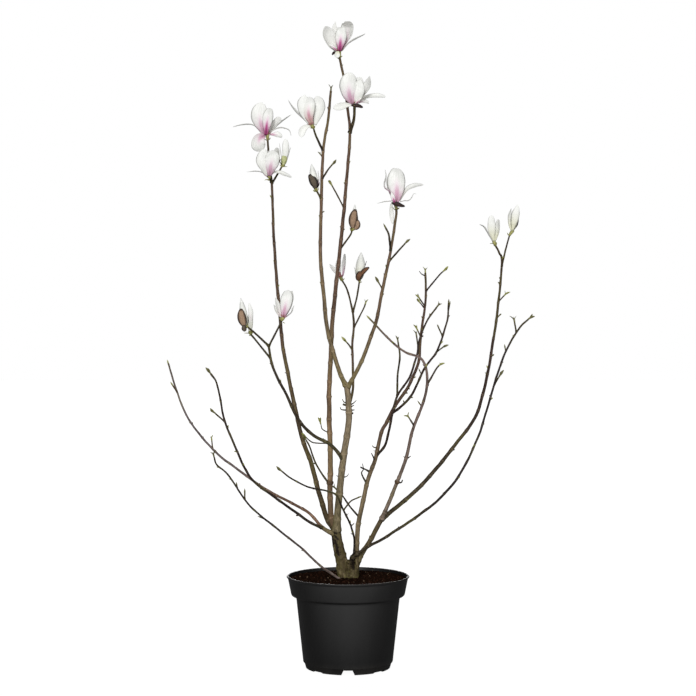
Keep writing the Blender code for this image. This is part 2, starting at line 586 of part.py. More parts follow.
def make_soil(collection):
    """The soil fills the pot a gap clear of it, nearly level, with a low mound round the trunk."""
    wall = [(r - GAP, z) for r, z in inner_wall()[:4]]
    wall[0] = (wall[0][0], wall[0][1] + GAP)
    wall[-1] = (wall[-1][0], SOIL_EDGE_TOP)
    slope = (SOIL_SLOPE_RADIUS, SOIL_TOP - SOIL_SLOPE_DROP)
    top = [(0, SOIL_TOP), (SOIL_FLAT_RADIUS, SOIL_TOP), slope]
    return turned("soil", [*top, *reversed(wall), (0, wall[0][1])], collection)


def make_trunk(collection, pieces, cutters):
    """Two legs grown together above the soil, cut off flat at it, each ending at its own fork."""
    for part in TRUNK_PARTS:
        path, radii, _ = limb_shape(LIMBS[part], TRUNK_STEP)
        make_tube(part, path, radii, pieces, TRUNK_SIDES)
    trunk = pieces.objects[TRUNK_PARTS[0]]
    trunk.name = "trunk"
    collection.objects.link(trunk)
    pieces.objects.unlink(trunk)
    trunk = apply_boolean(trunk, "UNION", pieces)
    slab_below(SOIL_TOP + GAP, cutters)
    return apply_boolean(trunk, "DIFFERENCE", cutters)


def make_bough(limb_name, collection, cutters):
    limb = LIMBS[limb_name]
    path, radii, stations = limb_shape(limb)
    end = stations[limb["bough"] - 1] + 1
    bough = make_tube("bough_" + limb_name, path[:end], radii[:end], collection, sides_of(limb_name))
    return cut_foot(bough, limb["cut_by"], cutters)


def spray_stem(limb_name):
    """The stretch of a limb above its bough, a gap clear of it, or all of it where it has none."""
    limb = LIMBS[limb_name]
    path, radii, stations = limb_shape(limb)
    if not limb["bough"]:
        return path, radii
    start = stations[limb["bough"] - 1]
    way = (path[start] - path[start - 1]).normalized()
    first = path[start] + way * GAP
    return [first, first + 3 * MM * way, *path[start + 1:]], [radii[start]] + radii[start:]


def nearest_on(path, point):
    """The point of a path that lies nearest this one."""
    best = path[0]
    for a, b in zip(path, path[1:]):
        share = max(0.0, min(1.0, (point - a).dot(b - a) / (b - a).length_squared))
        here = a.lerp(b, share)
        if (here - point).length < (best - point).length:
            best = here
    return best


def add_leaf_bud(path, radii):
    """Draws a stem's tip out into a swelling and a point."""
    base = path[-1]
    way = (base - path[-2]).normalized()
    for share, radius in ((0.35, BUD_RADIUS), (1.0, POINT_RADIUS)):
        path.append(base + way * BUD_LENGTH * share)
        radii.append(radius)


def limb_samples():
    """Every limb as points with a radius, to keep spurs clear of them."""
    samples = []
    for name, limb in LIMBS.items():
        path, radii, _ = limb_shape(limb, 0.8 * CM)
        samples += [(name, place, radius) for place, radius in zip(path, radii)]
    return samples


def touches_limb(points, own, samples):
    for name, place, radius in samples:
        if name != own and min((place - p).length for p in points) < radius + SPUR_CLEARANCE:
            return True
    return False


def add_spurs(stem, limb_name, samples, seed, pieces):
    """Short spurs that leave the stem by turns, by a seeded rule. One that touches is skipped."""
    dice = random.Random(seed)
    along = distances_along(stem)
    place = SPUR_SPACING * dice.uniform(0.4, 0.8)
    turn = dice.uniform(0, 2 * math.pi)
    while place < along[-1] - SPUR_SPACING * 0.5:
        i = max(k for k, x in enumerate(along) if x <= place)
        way = (stem[i + 1] - stem[i]).normalized()
        foot = stem[i] + way * (place - along[i])
        out = Matrix.Rotation(turn, 3, way) @ way.orthogonal().normalized()
        heading = (out + way * dice.uniform(0.8, 1.5)).normalized()
        length = dice.uniform(*SPUR_LENGTH)
        tip = foot + heading * length
        if not touches_limb([tip, foot.lerp(tip, 0.5)], limb_name, samples):
            path = [foot, foot + heading * length * 0.65, tip]
            radii = [SPUR_RADIUS, SPUR_RADIUS * 1.3, POINT_RADIUS]
            make_tube("spur", path, radii, pieces, TWIG_SIDES)
        place += SPUR_SPACING * dice.uniform(0.8, 1.2)
        turn += SPUR_TURN


def make_tepal(foot, frame, turn, lean_foot, lean_tip, length, width, pieces):
    """A cupped blade: narrow at its foot, widest past its middle, bent from one lean to the other."""
    bm = bmesh.new()
    bmesh.ops.create_grid(bm, x_segments=2, y_segments=4, size=0.5)
    start, end = math.radians(lean_foot), math.radians(lean_tip)
    around = Matrix.Rotation(math.radians(turn), 3, "Z")
    bend = end - start if abs(end - start) > 1e-3 else 1e-3
    for vert in bm.verts:
        side, share = 2 * vert.co.x, vert.co.y + 0.5
        angle = start + bend * share
        out = TEPAL_SPREAD + length / bend * (math.cos(start) - math.cos(angle))
        up = length / bend * (math.sin(angle) - math.sin(start))
        half = 0.5 * width * blade_width(share)
        cup = TEPAL_CUP * half * side * side
        local = Vector((out - cup * math.cos(angle), half * side, up + cup * math.sin(angle)))
        vert.co = foot + frame @ (around @ local)
    bmesh.ops.triangulate(bm, faces=bm.faces)  # so that both of its skins fold along the same lines
    bmesh.ops.solidify(bm, geom=bm.faces[:], thickness=TEPAL_THICKNESS)
    turn_out(bm)
    mesh = bpy.data.meshes.new("tepal")
    bm.to_mesh(mesh)
    bm.free()
    mesh_object("tepal", mesh, pieces)


def blade_width(share):
    """How wide a tepal is along its length, as a share of its greatest width."""
    if share < WIDEST_AT:
        return 0.12 + 0.88 * math.sin(math.pi * share**1.35) ** 0.9
    past = (share - WIDEST_AT) / (1 - WIDEST_AT)
    return 0.25 + 0.75 * math.cos(0.5 * math.pi * past) ** 0.6


def make_ovoid(foot, frame, length, width, pieces):
    """A closed bud: round near its foot and drawn out to a point."""
    bm = bmesh.new()
    bmesh.ops.create_uvsphere(bm, u_segments=6, v_segments=6, radius=0.5)
    for vert in bm.verts:
        share = vert.co.z + 0.5
        fullness = math.sqrt(max(1e-6, 1 - (2 * vert.co.z) ** 2))
        slim = math.sin(math.pi * share**0.75) ** 0.9 / fullness if 0 < share < 1 else 0
        local = Vector((vert.co.x * width * slim, vert.co.y * width * slim, share * length))
        vert.co = foot + frame @ local
    mesh = bpy.data.meshes.new("bud")
    bm.to_mesh(mesh)
    bm.free()
    mesh_object("bud", mesh, pieces)


def add_bloom(bloom_name, tip, way, pieces):
    """A bloom on a twig's tip: a receptacle, and tepals or a closed core round it."""
    bloom = BLOOMS[bloom_name]
    right, back = (math.radians(angle) for angle in bloom["lean"])
    frame = Matrix.Rotation(right, 3, "Y") @ Matrix.Rotation(-back, 3, "X")
    axis = frame @ Vector((0, 0, 1))
    throat = tip + axis * RECEPTACLE_LENGTH * 0.45
    receptacle = [tip - way * 2 * MM, tip + way * 2 * MM, throat, tip + axis * RECEPTACLE_LENGTH]
    radii = [0.5 * RECEPTACLE_RADIUS, 0.8 * RECEPTACLE_RADIUS, RECEPTACLE_RADIUS, 0.4 * RECEPTACLE_RADIUS]
    make_tube("receptacle", receptacle, radii, pieces, BOUGH_SIDES)
    if "core" in bloom:
        length, width = bloom["core"]
        make_ovoid(tip, frame, length * CM, width * CM, pieces)
    for turn, lean_foot, lean_tip, length, width in bloom["tepals"]:
        make_tepal(throat, frame, turn, lean_foot, lean_tip, length * CM, width * CM, pieces)


def finish_tip(kind, path, radii, pieces):
    if kind == "bud":
        add_leaf_bud(path, radii)
    elif kind:
        add_bloom(kind, path[-1], (path[-1] - path[-2]).normalized(), pieces)


def make_spray(limb_name, samples, seed, collection, pieces, cutters):
    spray = SPRAYS[limb_name]
    stem, radii = spray_stem(limb_name)
    route = list(stem)
    finish_tip(spray["tip"], stem, radii, pieces)
    for spots, radius, kind in spray["twigs"]:
        points = [spot_at(*spot) for spot in spots]
        points[0] = nearest_on(route, points[0])
        path, _ = smooth_path(points, TWIG_STEP)
        twig_radii = [radius * MM] * len(path)
        finish_tip(kind, path, twig_radii, pieces)
        make_tube("twig", path, twig_radii, pieces, TWIG_SIDES)
    add_spurs(route, limb_name, samples, seed, pieces)
    body = make_tube("spray_" + limb_name, stem, radii, collection, BOUGH_SIDES)
    if pieces.objects:
        body = apply_boolean(body, "UNION", pieces, "MANIFOLD")
    keep_main_body(body)
    if not LIMBS[limb_name]["bough"]:
        body = cut_foot(body, LIMBS[limb_name]["cut_by"], cutters)
    return body


def dress(obj, material):
    obj.data.materials.clear()
    obj.data.materials.append(material)
    for face in obj.data.polygons:
        face.material_index = 0
    obj.data.shade_smooth()
    obj.data.set_sharp_from_angle(angle=math.radians(40))


def main():
    clear_scene()
    plant = new_collection("lily_magnolia")
    pieces = new_collection("pieces")
    cutters = new_collection("cutters")
    cutters.hide_render = True
    materials = make_materials()
    dress(make_pot(plant, cutters), materials["pot"])
    dress(make_soil(plant), materials["soil"])
    dress(make_trunk(plant, pieces, cutters), materials["bark"])
    for name, limb in LIMBS.items():
        if limb["bough"] and name not in TRUNK_PARTS:
            dress(make_bough(name, plant, cutters), materials["bark"])
    samples = limb_samples()
    for seed, name in enumerate(SPRAYS):
        spray = make_spray(name, samples, seed, plant, pieces, cutters)
        dress(spray, materials["blossom"])


main()
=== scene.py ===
# %% [markdown]
# # A potted lily magnolia in early bloom
# The real object is a young nursery shrub: one short trunk, a handful of bare crooked stems,
# flowers that open before the leaves, and a round black pot full of dark compost. The solids in
# the frame already hold every size and place. This lesson grows the fine surface over them, one
# kind of thing at a time: pot, compost, trunk, limbs, twigs, buds and flowers.

# %% Load the frame
import math
import random

import bmesh
import bpy
import numpy as np
from mathutils import Matrix, Vector, noise


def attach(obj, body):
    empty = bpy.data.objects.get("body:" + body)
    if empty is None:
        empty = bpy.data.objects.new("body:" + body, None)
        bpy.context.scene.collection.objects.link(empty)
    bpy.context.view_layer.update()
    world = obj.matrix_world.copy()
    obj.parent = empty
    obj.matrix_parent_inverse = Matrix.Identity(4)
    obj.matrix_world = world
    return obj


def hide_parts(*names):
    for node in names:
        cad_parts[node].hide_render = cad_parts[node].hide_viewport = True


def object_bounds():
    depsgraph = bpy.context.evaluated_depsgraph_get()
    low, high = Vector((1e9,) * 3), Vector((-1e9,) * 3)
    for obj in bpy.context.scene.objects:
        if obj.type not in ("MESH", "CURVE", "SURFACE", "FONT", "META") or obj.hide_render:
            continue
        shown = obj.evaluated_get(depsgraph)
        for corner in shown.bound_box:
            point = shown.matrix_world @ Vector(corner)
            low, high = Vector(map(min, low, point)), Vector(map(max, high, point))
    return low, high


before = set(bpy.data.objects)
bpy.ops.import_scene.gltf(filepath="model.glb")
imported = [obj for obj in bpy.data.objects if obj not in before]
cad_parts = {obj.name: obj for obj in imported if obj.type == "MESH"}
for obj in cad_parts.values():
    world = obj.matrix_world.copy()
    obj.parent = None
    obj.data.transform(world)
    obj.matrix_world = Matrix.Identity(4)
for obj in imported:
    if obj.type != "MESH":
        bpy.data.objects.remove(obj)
cad_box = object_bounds()
noise.seed_set(1)  # vector noise starts from the clock without this, and differs at each run
print("solids in the frame:", len(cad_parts))

# %% [markdown]
# The picture that the plant is shown in was taken level, from a good way off. A long lens from the
# same place gives the same slight narrowing towards the top. Units come first, because every size
# below is written in millimetres or centimetres, as a gardener would measure it.

# %% Units and camera
MM = 0.001
CM = 0.01
VIEW_DISTANCE = 3.52
EYE_HEIGHT = 0.725
LENS_MM = 80
SENSOR_MM = 36

lens = bpy.data.cameras.new("camera")
lens.lens = LENS_MM
lens.sensor_width = SENSOR_MM
camera = bpy.data.objects.new("camera", lens)
camera.location = (0, -VIEW_DISTANCE, EYE_HEIGHT)
camera.rotation_euler = (math.radians(90), 0, 0)
bpy.context.scene.collection.objects.link(camera)
bpy.context.scene.camera = camera
print("camera", tuple(camera.location))

# %% [markdown]
# A material in Blender is a small graph of nodes. These helpers keep such graphs short to write:
# one adds a node and plugs its inputs in, the others add the kinds that come back again and again.
# Colours are given as they look on a screen and turned into the linear values that light works in.

# %% Helpers for shader graphs
def screen_colour(red, green, blue):
    """A colour as seen on a screen, 0 to 255, as linear light."""
    def linear(value):
        value /= 255
        return value / 12.92 if value <= 0.04045 else ((value + 0.055) / 1.055) ** 2.4
    return (linear(red), linear(green), linear(blue), 1.0)


def plug(tree, socket, value):
    """Links a socket to another, or sets it. Three numbers are a colour as seen on a screen."""
    if isinstance(value, bpy.types.NodeSocket):
        tree.links.new(value, socket)
    elif isinstance(value, tuple) and len(value) == 3:
        socket.default_value = screen_colour(*value)
    else:
        socket.default_value = value


def add_node(tree, kind, inputs, **settings):
    node = tree.nodes.new(kind)
    for name, value in settings.items():
        setattr(node, name, value)
    for name, value in inputs.items():
        plug(tree, node.inputs[name], value)
    return node


def calculate(tree, operation, a, b=0.0):
    return add_node(tree, "ShaderNodeMath", {0: a, 1: b}, operation=operation).outputs[0]


def blend(tree, share, a, b, mode="MIX"):
    inputs = {0: share, 6: a, 7: b}
    return add_node(tree, "ShaderNodeMix", inputs, data_type="RGBA", blend_type=mode).outputs[2]


def ramp(tree, value, low, high, to_low=0.0, to_high=1.0):
    """Stretches the values between low and high over the range that is wanted, and clamps the rest."""
    inputs = {"Value": value, "From Min": low, "From Max": high, "To Min": to_low, "To Max": to_high}
    return add_node(tree, "ShaderNodeMapRange", inputs, interpolation_type="SMOOTHSTEP").outputs[0]


def attribute(tree, name, output="Fac"):
    return add_node(tree, "ShaderNodeAttribute", {}, attribute_name=name).outputs[output]


def object_place(tree):
    return add_node(tree, "ShaderNodeTexCoord", {}).outputs["Object"]


print("middle grey on a screen is", round(screen_colour(128, 128, 128)[0], 3), "of white's light")

# %% [markdown]
# Stretched noise does most of the work on a plant. Grain that is drawn out along a stem reads as
# bark fibre, the same noise in round spots reads as blotches, and small cells read as pores. One
# node group holds all three, so that bark, petals, plastic and twigs can each use it at their own
# scale. Many small things need no more than two colours mixed by that grain, with the same grain
# as a fine relief, so one function makes all such finishes.

# %% The grain group
def new_group(name, inputs, outputs):
    """An empty group. Each socket is given as its name and, as the last word, its kind."""
    group = bpy.data.node_groups.new(name, "ShaderNodeTree")
    for side, sockets in (("INPUT", inputs), ("OUTPUT", outputs)):
        for socket, kind in (words.rsplit(" ", 1) for words in sockets):
            group.interface.new_socket(socket, in_out=side, socket_type="NodeSocket" + kind)
    return group, group.nodes.new("NodeGroupInput"), group.nodes.new("NodeGroupOutput")


def make_grain_group():
    group, given, wanted = new_group("grain", ["Place Vector", "Across Float", "Along Float"],
                                     ["Streaks Float", "Blotches Float", "Pores Float"])
    across, along = given.outputs["Across"], given.outputs["Along"]
    stretch = add_node(group, "ShaderNodeCombineXYZ", {"X": across, "Y": across, "Z": along})
    inputs = {0: given.outputs["Place"], 1: stretch.outputs[0]}
    place = add_node(group, "ShaderNodeVectorMath", inputs, operation="MULTIPLY").outputs[0]
    streaks = add_node(group, "ShaderNodeTexNoise",
                       {"Vector": place, "Scale": 1.0, "Detail": 5.0, "Roughness": 0.62})
    blotches = add_node(group, "ShaderNodeTexNoise",
                        {"Vector": place, "Scale": 0.22, "Detail": 3.0, "Roughness": 0.55})
    pores = add_node(group, "ShaderNodeTexVoronoi", {"Vector": place, "Scale": 0.8})
    group.links.new(streaks.outputs["Fac"], wanted.inputs["Streaks"])
    group.links.new(blotches.outputs["Fac"], wanted.inputs["Blotches"])
    group.links.new(ramp(group, pores.outputs["Distance"], 0.10, 0.24, 1.0, 0.0), wanted.inputs["Pores"])
    return group


grain_group = make_grain_group()


def grain(tree, place, across, along):
    """The grain group, placed in a material with its own fineness, in cells per metre."""
    inputs = {"Place": place, "Across": across, "Along": along}
    return add_node(tree, "ShaderNodeGroup", inputs, node_tree=grain_group).outputs


def new_material(name, roughness):
    material = bpy.data.materials.new(name)
    material.use_nodes = True
    shader = material.node_tree.nodes["Principled BSDF"]
    shader.inputs["Roughness"].default_value = roughness
    return material, material.node_tree, shader


def finish_shader(tree, shader, colour, gloss, height, relief, strength):
    """Feeds the colour, gloss and relief (in metres) of a finish to its shader."""
    inputs = {"Height": height, "Distance": relief, "Strength": strength}
    normal = add_node(tree, "ShaderNodeBump", inputs).outputs[0]
    for socket, value in (("Base Color", colour), ("Specular IOR Level", gloss), ("Normal", normal)):
        plug(tree, shader.inputs[socket], value)


def two_tone(name, deep, light, roughness, across, along, relief, strength, gloss=0.5, margin=None):
    """A finish whose grain mixes two colours and lifts the surface. A blade's margin and tip may be painted
    darker, as shade.
    """
    material, tree, shader = new_material(name, roughness)
    look = grain(tree, object_place(tree), across, along)
    colour = blend(tree, ramp(tree, look["Streaks"], 0.35, 0.65), deep, light)
    # Darker towards a blade's margins and tip: painted shade.
    if margin:
        away = calculate(tree, "ABSOLUTE", attribute(tree, "side"))
        colour = blend(tree, ramp(tree, away, 0.35, 0.8), colour, margin)
        colour = blend(tree, ramp(tree, attribute(tree, "reach"), 0.82, 0.96), colour, margin)
    finish_shader(tree, shader, colour, gloss, look["Streaks"], relief, strength)
    return material


print("grain group has", len(grain_group.nodes), "nodes")

# %% [markdown]
# Each piece goes the same way into the scene: the bmesh becomes a mesh, the mesh an object, and
# the object is given the body it rides on and its finish, and the solids it stands for are hidden.

# %% Helpers for pieces
def new_piece(name, bm, materials, replaced=()):
    mesh = bpy.data.meshes.new(name)
    bm.to_mesh(mesh)
    bm.free()
    return finish_piece(name, mesh, materials, replaced)


def finish_piece(name, mesh, materials, replaced=()):
    mesh.shade_smooth()
    for material in materials:
        mesh.materials.append(material)
    piece = bpy.data.objects.new(name, mesh)
    bpy.context.scene.collection.objects.link(piece)
    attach(piece, "root")
    if replaced:
        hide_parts(*replaced)
    print(name, sum(len(face.vertices) - 2 for face in mesh.polygons), "triangles")
    return piece


def turn_out(bm):
    """Makes the faces of a closed mesh point outwards."""
    bmesh.ops.recalc_face_normals(bm, faces=bm.faces)
    if bm.calc_volume(signed=True) < 0:
        bmesh.ops.reverse_faces(bm, faces=bm.faces)


print("pieces ride on root, the plant's one body")

# %% [markdown]
# The plant stands on a plain pale floor against a plain white ground. A sky that is bright in front
# and dim everywhere else gives the stems a light middle and dark sides, the way one large window
# behind the viewer does. A soft sun from the upper left adds direction, and a weak one behind
# keeps the far side readable. The floor looks white, but sends light up only in front of the pot,
# where the plastic mirrors it: a floor that is bright all round would pale the pot's sides.

# %% Floor, sky and lamps
FLOOR_REACH = 30.0
SKY_FRONT = 0.92
SKY_SIDES = 0.05
SKY_BACK = 0.02  # what the plastic mirrors at its sides
FLOOR_GREY = 0.12
FLOOR_GLOW = 0.65  # the light sent up in front of the pot
FLOOR_FADE = (-0.12, -0.5)  # where along Y that light sets in, and where it is full
FLOOR_SEEN = 0.95


def grey(light):
    return (light, light, light, 1)


def make_floor():
    bm = bmesh.new()
    bmesh.ops.create_grid(bm, x_segments=1, y_segments=1, size=FLOOR_REACH)
    mesh = bpy.data.meshes.new("floor")
    bm.to_mesh(mesh)
    bm.free()
    material, tree, shader = new_material("pale_floor", 0.9)
    forward = add_node(tree, "ShaderNodeSeparateXYZ", {"Vector": object_place(tree)}).outputs["Y"]
    seen = add_node(tree, "ShaderNodeLightPath", {}).outputs["Is Camera Ray"]
    sent = ramp(tree, forward, *FLOOR_FADE, 0.02, FLOOR_GLOW)
    inputs = {"Base Color": grey(FLOOR_GREY), "Emission Color": blend(tree, seen, sent, grey(FLOOR_SEEN)),
              "Emission Strength": 1.0, "Specular IOR Level": 0.1}
    for socket, value in inputs.items():
        plug(tree, shader.inputs[socket], value)
    material.cycles.emission_sampling = "NONE"
    mesh.materials.append(material)
    floor = bpy.data.objects.new("floor", mesh)
    bpy.context.scene.collection.objects.link(floor)


def make_sky():
    world = bpy.data.worlds.new("sky")
    world.use_nodes = True
    bpy.context.scene.world = world
    tree = world.node_tree
    aim = add_node(tree, "ShaderNodeTexCoord", {}).outputs["Generated"]
    forward = add_node(tree, "ShaderNodeSeparateXYZ", {"Vector": aim}).outputs["Y"]
    rays = add_node(tree, "ShaderNodeLightPath", {}).outputs
    dim = blend(tree, rays["Is Glossy Ray"], grey(SKY_SIDES), grey(SKY_BACK))
    light = blend(tree, ramp(tree, forward, -1.0, -0.25, 1.0, 0.0), dim, grey(SKY_FRONT))
    colour = blend(tree, rays["Is Camera Ray"], light, grey(1))
    plug(tree, tree.nodes["Background"].inputs["Color"], colour)


def add_sun(name, azimuth, elevation, strength, softness):
    """A sun that shines from this side: azimuth 0 is the front, and 90 the right."""
    sun = bpy.data.lights.new(name, "SUN")
    sun.energy = strength
    sun.angle = math.radians(softness)
    lamp = bpy.data.objects.new(name, sun)
    lamp.rotation_euler = (math.radians(90 - elevation), 0, math.radians(azimuth))
    bpy.context.scene.collection.objects.link(lamp)


make_floor()
make_sky()
for sun in (("key", -8, 30, 1.45, 16), ("fill", 30, 20, 0.2, 30), ("rear", 180, 22, 1.3, 20)):
    add_sun(*sun)
bpy.context.scene.view_settings.view_transform = "Standard"
print("sky", SKY_FRONT, "to", SKY_BACK)

# %% [markdown]
# The pot is a thin plastic one, blown or pressed in a round mould, so every part of it except the
# notches is a turned shape. Its outline is drawn once, as a handful of points from the middle of
# the floor inside, over the rim and down to the foot, and a spin makes the pot of it. Bevels along
# the rings then round the edges, which is what catches the light on real plastic.

# %% Turn the pot
POT_HEIGHT = 208 * MM
RIM_RADIUS = 140 * MM
BAND_TOP_RADIUS = 136.5 * MM
BAND_FOOT_RADIUS = 129.5 * MM
BAND_FOOT_HEIGHT = 167 * MM
BODY_TOP_RADIUS = 117.5 * MM
BODY_TOP_HEIGHT = 156 * MM
HEEL_RADIUS = 102 * MM
HEEL_HEIGHT = 14 * MM
RING_RADIUS = 96 * MM
RING_WALL = 3.5 * MM
WALL = 2.4 * MM
FLOOR_HEIGHT = 12 * MM
CENTRE_FOOT_RADIUS = 18 * MM
POT_STEPS = 240
EDGE_ROUNDING = 0.8 * MM


def turned(profile, steps, rounding=0.0):
    """Spins an outline of (radius, height) points round the upright axis into a closed skin."""
    bm = bmesh.new()
    corners = [bm.verts.new((r, 0, z)) for r, z in profile]
    for a, b in zip(corners, corners[1:]):
        bm.edges.new((a, b))
    bmesh.ops.spin(bm, geom=bm.verts[:] + bm.edges[:], cent=(0, 0, 0), axis=(0, 0, 1),
                   angle=2 * math.pi, steps=steps, use_merge=True)
    bmesh.ops.remove_doubles(bm, verts=bm.verts, dist=0.001 * MM)
    turn_out(bm)
    if rounding:
        rings = [edge for edge in bm.edges
                 if abs(edge.verts[0].co.z - edge.verts[1].co.z) < 0.01 * MM
                 and edge.calc_face_angle(0) > math.radians(25)]
        bmesh.ops.bevel(bm, geom=rings, offset=rounding, offset_type="OFFSET", affect="EDGES",
                        segments=3, profile=0.5, clamp_overlap=True, material=-1)
    return bm


inner_wall = [
    (HEEL_RADIUS - WALL - 0.6 * MM, FLOOR_HEIGHT + WALL),
    (BODY_TOP_RADIUS - WALL, BODY_TOP_HEIGHT + 1.5 * MM),
    (BAND_FOOT_RADIUS - WALL, BAND_FOOT_HEIGHT + 1 * MM),
    (BAND_TOP_RADIUS - WALL, 201.5 * MM),
    (BAND_TOP_RADIUS - WALL + 1 * MM, POT_HEIGHT - 1.5 * MM),
]
pot_profile = [(0, FLOOR_HEIGHT + WALL), *inner_wall]
pot_profile += [
    (RIM_RADIUS - 2.5 * MM, POT_HEIGHT),
    (RIM_RADIUS, POT_HEIGHT - 2.4 * MM),
    (BAND_TOP_RADIUS, POT_HEIGHT - 6.5 * MM),
    (BAND_FOOT_RADIUS, BAND_FOOT_HEIGHT),
    (BAND_FOOT_RADIUS - 1.2 * MM, BAND_FOOT_HEIGHT - 2.6 * MM),
    (BAND_FOOT_RADIUS - 4.0 * MM, BAND_FOOT_HEIGHT - 4.2 * MM),
    (BODY_TOP_RADIUS + 1 * MM, BODY_TOP_HEIGHT + 4.6 * MM),
    (BODY_TOP_RADIUS, BODY_TOP_HEIGHT),
    (HEEL_RADIUS, HEEL_HEIGHT),
    (HEEL_RADIUS - 3 * MM, HEEL_HEIGHT - 3.5 * MM),
    (RING_RADIUS, 0),
    (RING_RADIUS - RING_WALL, 0),
    (RING_RADIUS - RING_WALL, FLOOR_HEIGHT),
    (CENTRE_FOOT_RADIUS, FLOOR_HEIGHT),
    (CENTRE_FOOT_RADIUS, 0),
    (0, 0),
]
pot = turned(pot_profile, POT_STEPS, EDGE_ROUNDING)
print("pot faces", len(pot.faces))

# %% [markdown]
# Four notches in the foot ring let water out, and a shallow recess sits between each pair. The
# ring's lower part is simply pressed upwards there: each corner of the mesh near a notch rises
# towards the notch's roof, so the plastic stays one skin and no cut has to be cleaned up.

# %% Press the notches
NOTCH_HEIGHT = 10.4 * MM
NOTCH_HALF_TURN = math.radians(6)
NOTCH_EDGE_TURN = math.radians(9)
RECESS_HEIGHT = 2 * MM
RECESS_HALF_TURN = math.radians(7)
RECESS_EDGE_TURN = math.radians(8.2)
PRESS_REACH = 12 * MM


def clamp(share):
    return max(0.0, min(1.0, share))


def lift_at(turn, middle, half, edge, height):
    """How far the ring's underside is lifted at this turn by a notch with sloping ends."""
    away = abs((turn - middle + math.pi) % (2 * math.pi) - math.pi)
    return height * clamp((edge - away) / (edge - half))


for vert in pot.verts:
    radius = math.hypot(vert.co.x, vert.co.y)
    if radius < RING_RADIUS - RING_WALL - 1 * MM or vert.co.z > PRESS_REACH:
        continue
    turn = math.atan2(vert.co.y, vert.co.x)
    lift = 0.0
    for quarter in range(4):
        middle = quarter * math.pi / 2
        lift = max(lift, lift_at(turn, middle, NOTCH_HALF_TURN, NOTCH_EDGE_TURN, NOTCH_HEIGHT))
        middle += math.pi / 4
        lift = max(lift, lift_at(turn, middle, RECESS_HALF_TURN, RECESS_EDGE_TURN, RECESS_HEIGHT))
    vert.co.z = lift + vert.co.z * (PRESS_REACH - lift) / PRESS_REACH
print("foot ring lowest", round(min(v.co.z for v in pot.verts) / MM, 3), "mm")

# %% [markdown]
# Nursery pots are black plastic with a soft matt skin. The light comes from the front, so the wall
# is dark grey in the middle and black at its sides, and all that breaks it up is faint upright
# clouding, a fine grain, a little dust low down and a pale line on the lip, a painted highlight.

# %% Black plastic
# Heights of the rim's rounded top, which is painted paler there as a highlight
PAINTED_LIP_HIGHLIGHT = (206.2 * MM, 207.8 * MM)
DUSTY = (4 * MM, 30 * MM)


def make_plastic():
    material, tree, shader = new_material("black_plastic", 0.46)
    place = object_place(tree)
    clouds = grain(tree, place, 30.0, 5.0)
    specks = grain(tree, place, 1400.0, 1400.0)
    height = add_node(tree, "ShaderNodeSeparateXYZ", {"Vector": place}).outputs["Z"]
    colour = blend(tree, ramp(tree, clouds["Streaks"], 0.35, 0.65), (12, 12, 12), (17, 17, 17))
    colour = blend(tree, calculate(tree, "MULTIPLY", specks["Pores"], 0.10), colour, (84, 84, 84))
    # A pale line round the top of the rim: painted highlight.
    colour = blend(tree, ramp(tree, height, *PAINTED_LIP_HIGHLIGHT, 0.0, 0.5), colour, (104, 99, 96))
    splash = calculate(tree, "MULTIPLY", ramp(tree, height, *DUSTY, 1.0, 0.0),
                       ramp(tree, clouds["Blotches"], 0.40, 0.62, 0.0, 0.25))
    colour = blend(tree, splash, colour, (74, 70, 66))
    plug(tree, shader.inputs["Roughness"], ramp(tree, clouds["Blotches"], 0.3, 0.7, 0.43, 0.50))
    finish_shader(tree, shader, colour, 0.6, specks["Streaks"], 0.12 * MM, 0.3)
    return material


new_piece("pot_skin", pot, [make_plastic()], ["pot"])

# %% [markdown]
# The compost comes nearly to the rim. It is a turned disc whose top is roughened with several
# sizes of noise, so that it has clods and hollows of its own before any loose crumb is added.

# %% Heap the compost
SOIL_TOP = 203.5 * MM
SOIL_EDGE_TOP = 200.5 * MM
SOIL_FLAT_RADIUS = 50 * MM
SOIL_SLOPE_RADIUS = 98 * MM
SOIL_SLOPE_DROP = 1.4 * MM
SOIL_EDGE_RADIUS = 133.7 * MM
SOIL_UNDER = 170 * MM
SOIL_RINGS = 56
SOIL_STEPS = 190
CLODS = ((1.5, 55), (1.2, 160), (0.9, 420))  # rise in mm, and waves per metre


def soil_height(radius):
    """The compost's height this far from the middle, before it is roughened."""
    if radius < SOIL_FLAT_RADIUS:
        return SOIL_TOP
    low = SOIL_TOP - SOIL_SLOPE_DROP
    if radius < SOIL_SLOPE_RADIUS:
        share = (radius - SOIL_FLAT_RADIUS) / (SOIL_SLOPE_RADIUS - SOIL_FLAT_RADIUS)
        return SOIL_TOP - SOIL_SLOPE_DROP * share
    share = (radius - SOIL_SLOPE_RADIUS) / (SOIL_EDGE_RADIUS - SOIL_SLOPE_RADIUS)
    return low + (SOIL_EDGE_TOP - low) * share


def clods(place):
    """How far the compost stands proud of its smooth shape here, in metres."""
    flat = Vector((place.x, place.y, 0))
    return sum(rise * noise.noise(flat * waves) for rise, waves in CLODS) * MM


soil_profile = [(SOIL_EDGE_RADIUS * k / SOIL_RINGS, soil_height(SOIL_EDGE_RADIUS * k / SOIL_RINGS))
                for k in range(SOIL_RINGS + 1)]
soil_profile += [(SOIL_EDGE_RADIUS - 8 * MM, SOIL_UNDER), (0, SOIL_UNDER)]
soil = turned(soil_profile, SOIL_STEPS)
for vert in soil.verts:
    if vert.co.z > SOIL_UNDER + 1 * MM:
        inside = 1 - math.hypot(vert.co.x, vert.co.y) / SOIL_EDGE_RADIUS
        vert.co.z += clods(vert.co) * min(1.0, inside * 12)
print("compost faces", len(soil.faces))

# %% [markdown]
# Potting compost is peat and bark fibre: nearly black brown with reddish bits and a few pale
# specks. Colour follows noise at two scales, and the surface is as rough as anything gets.

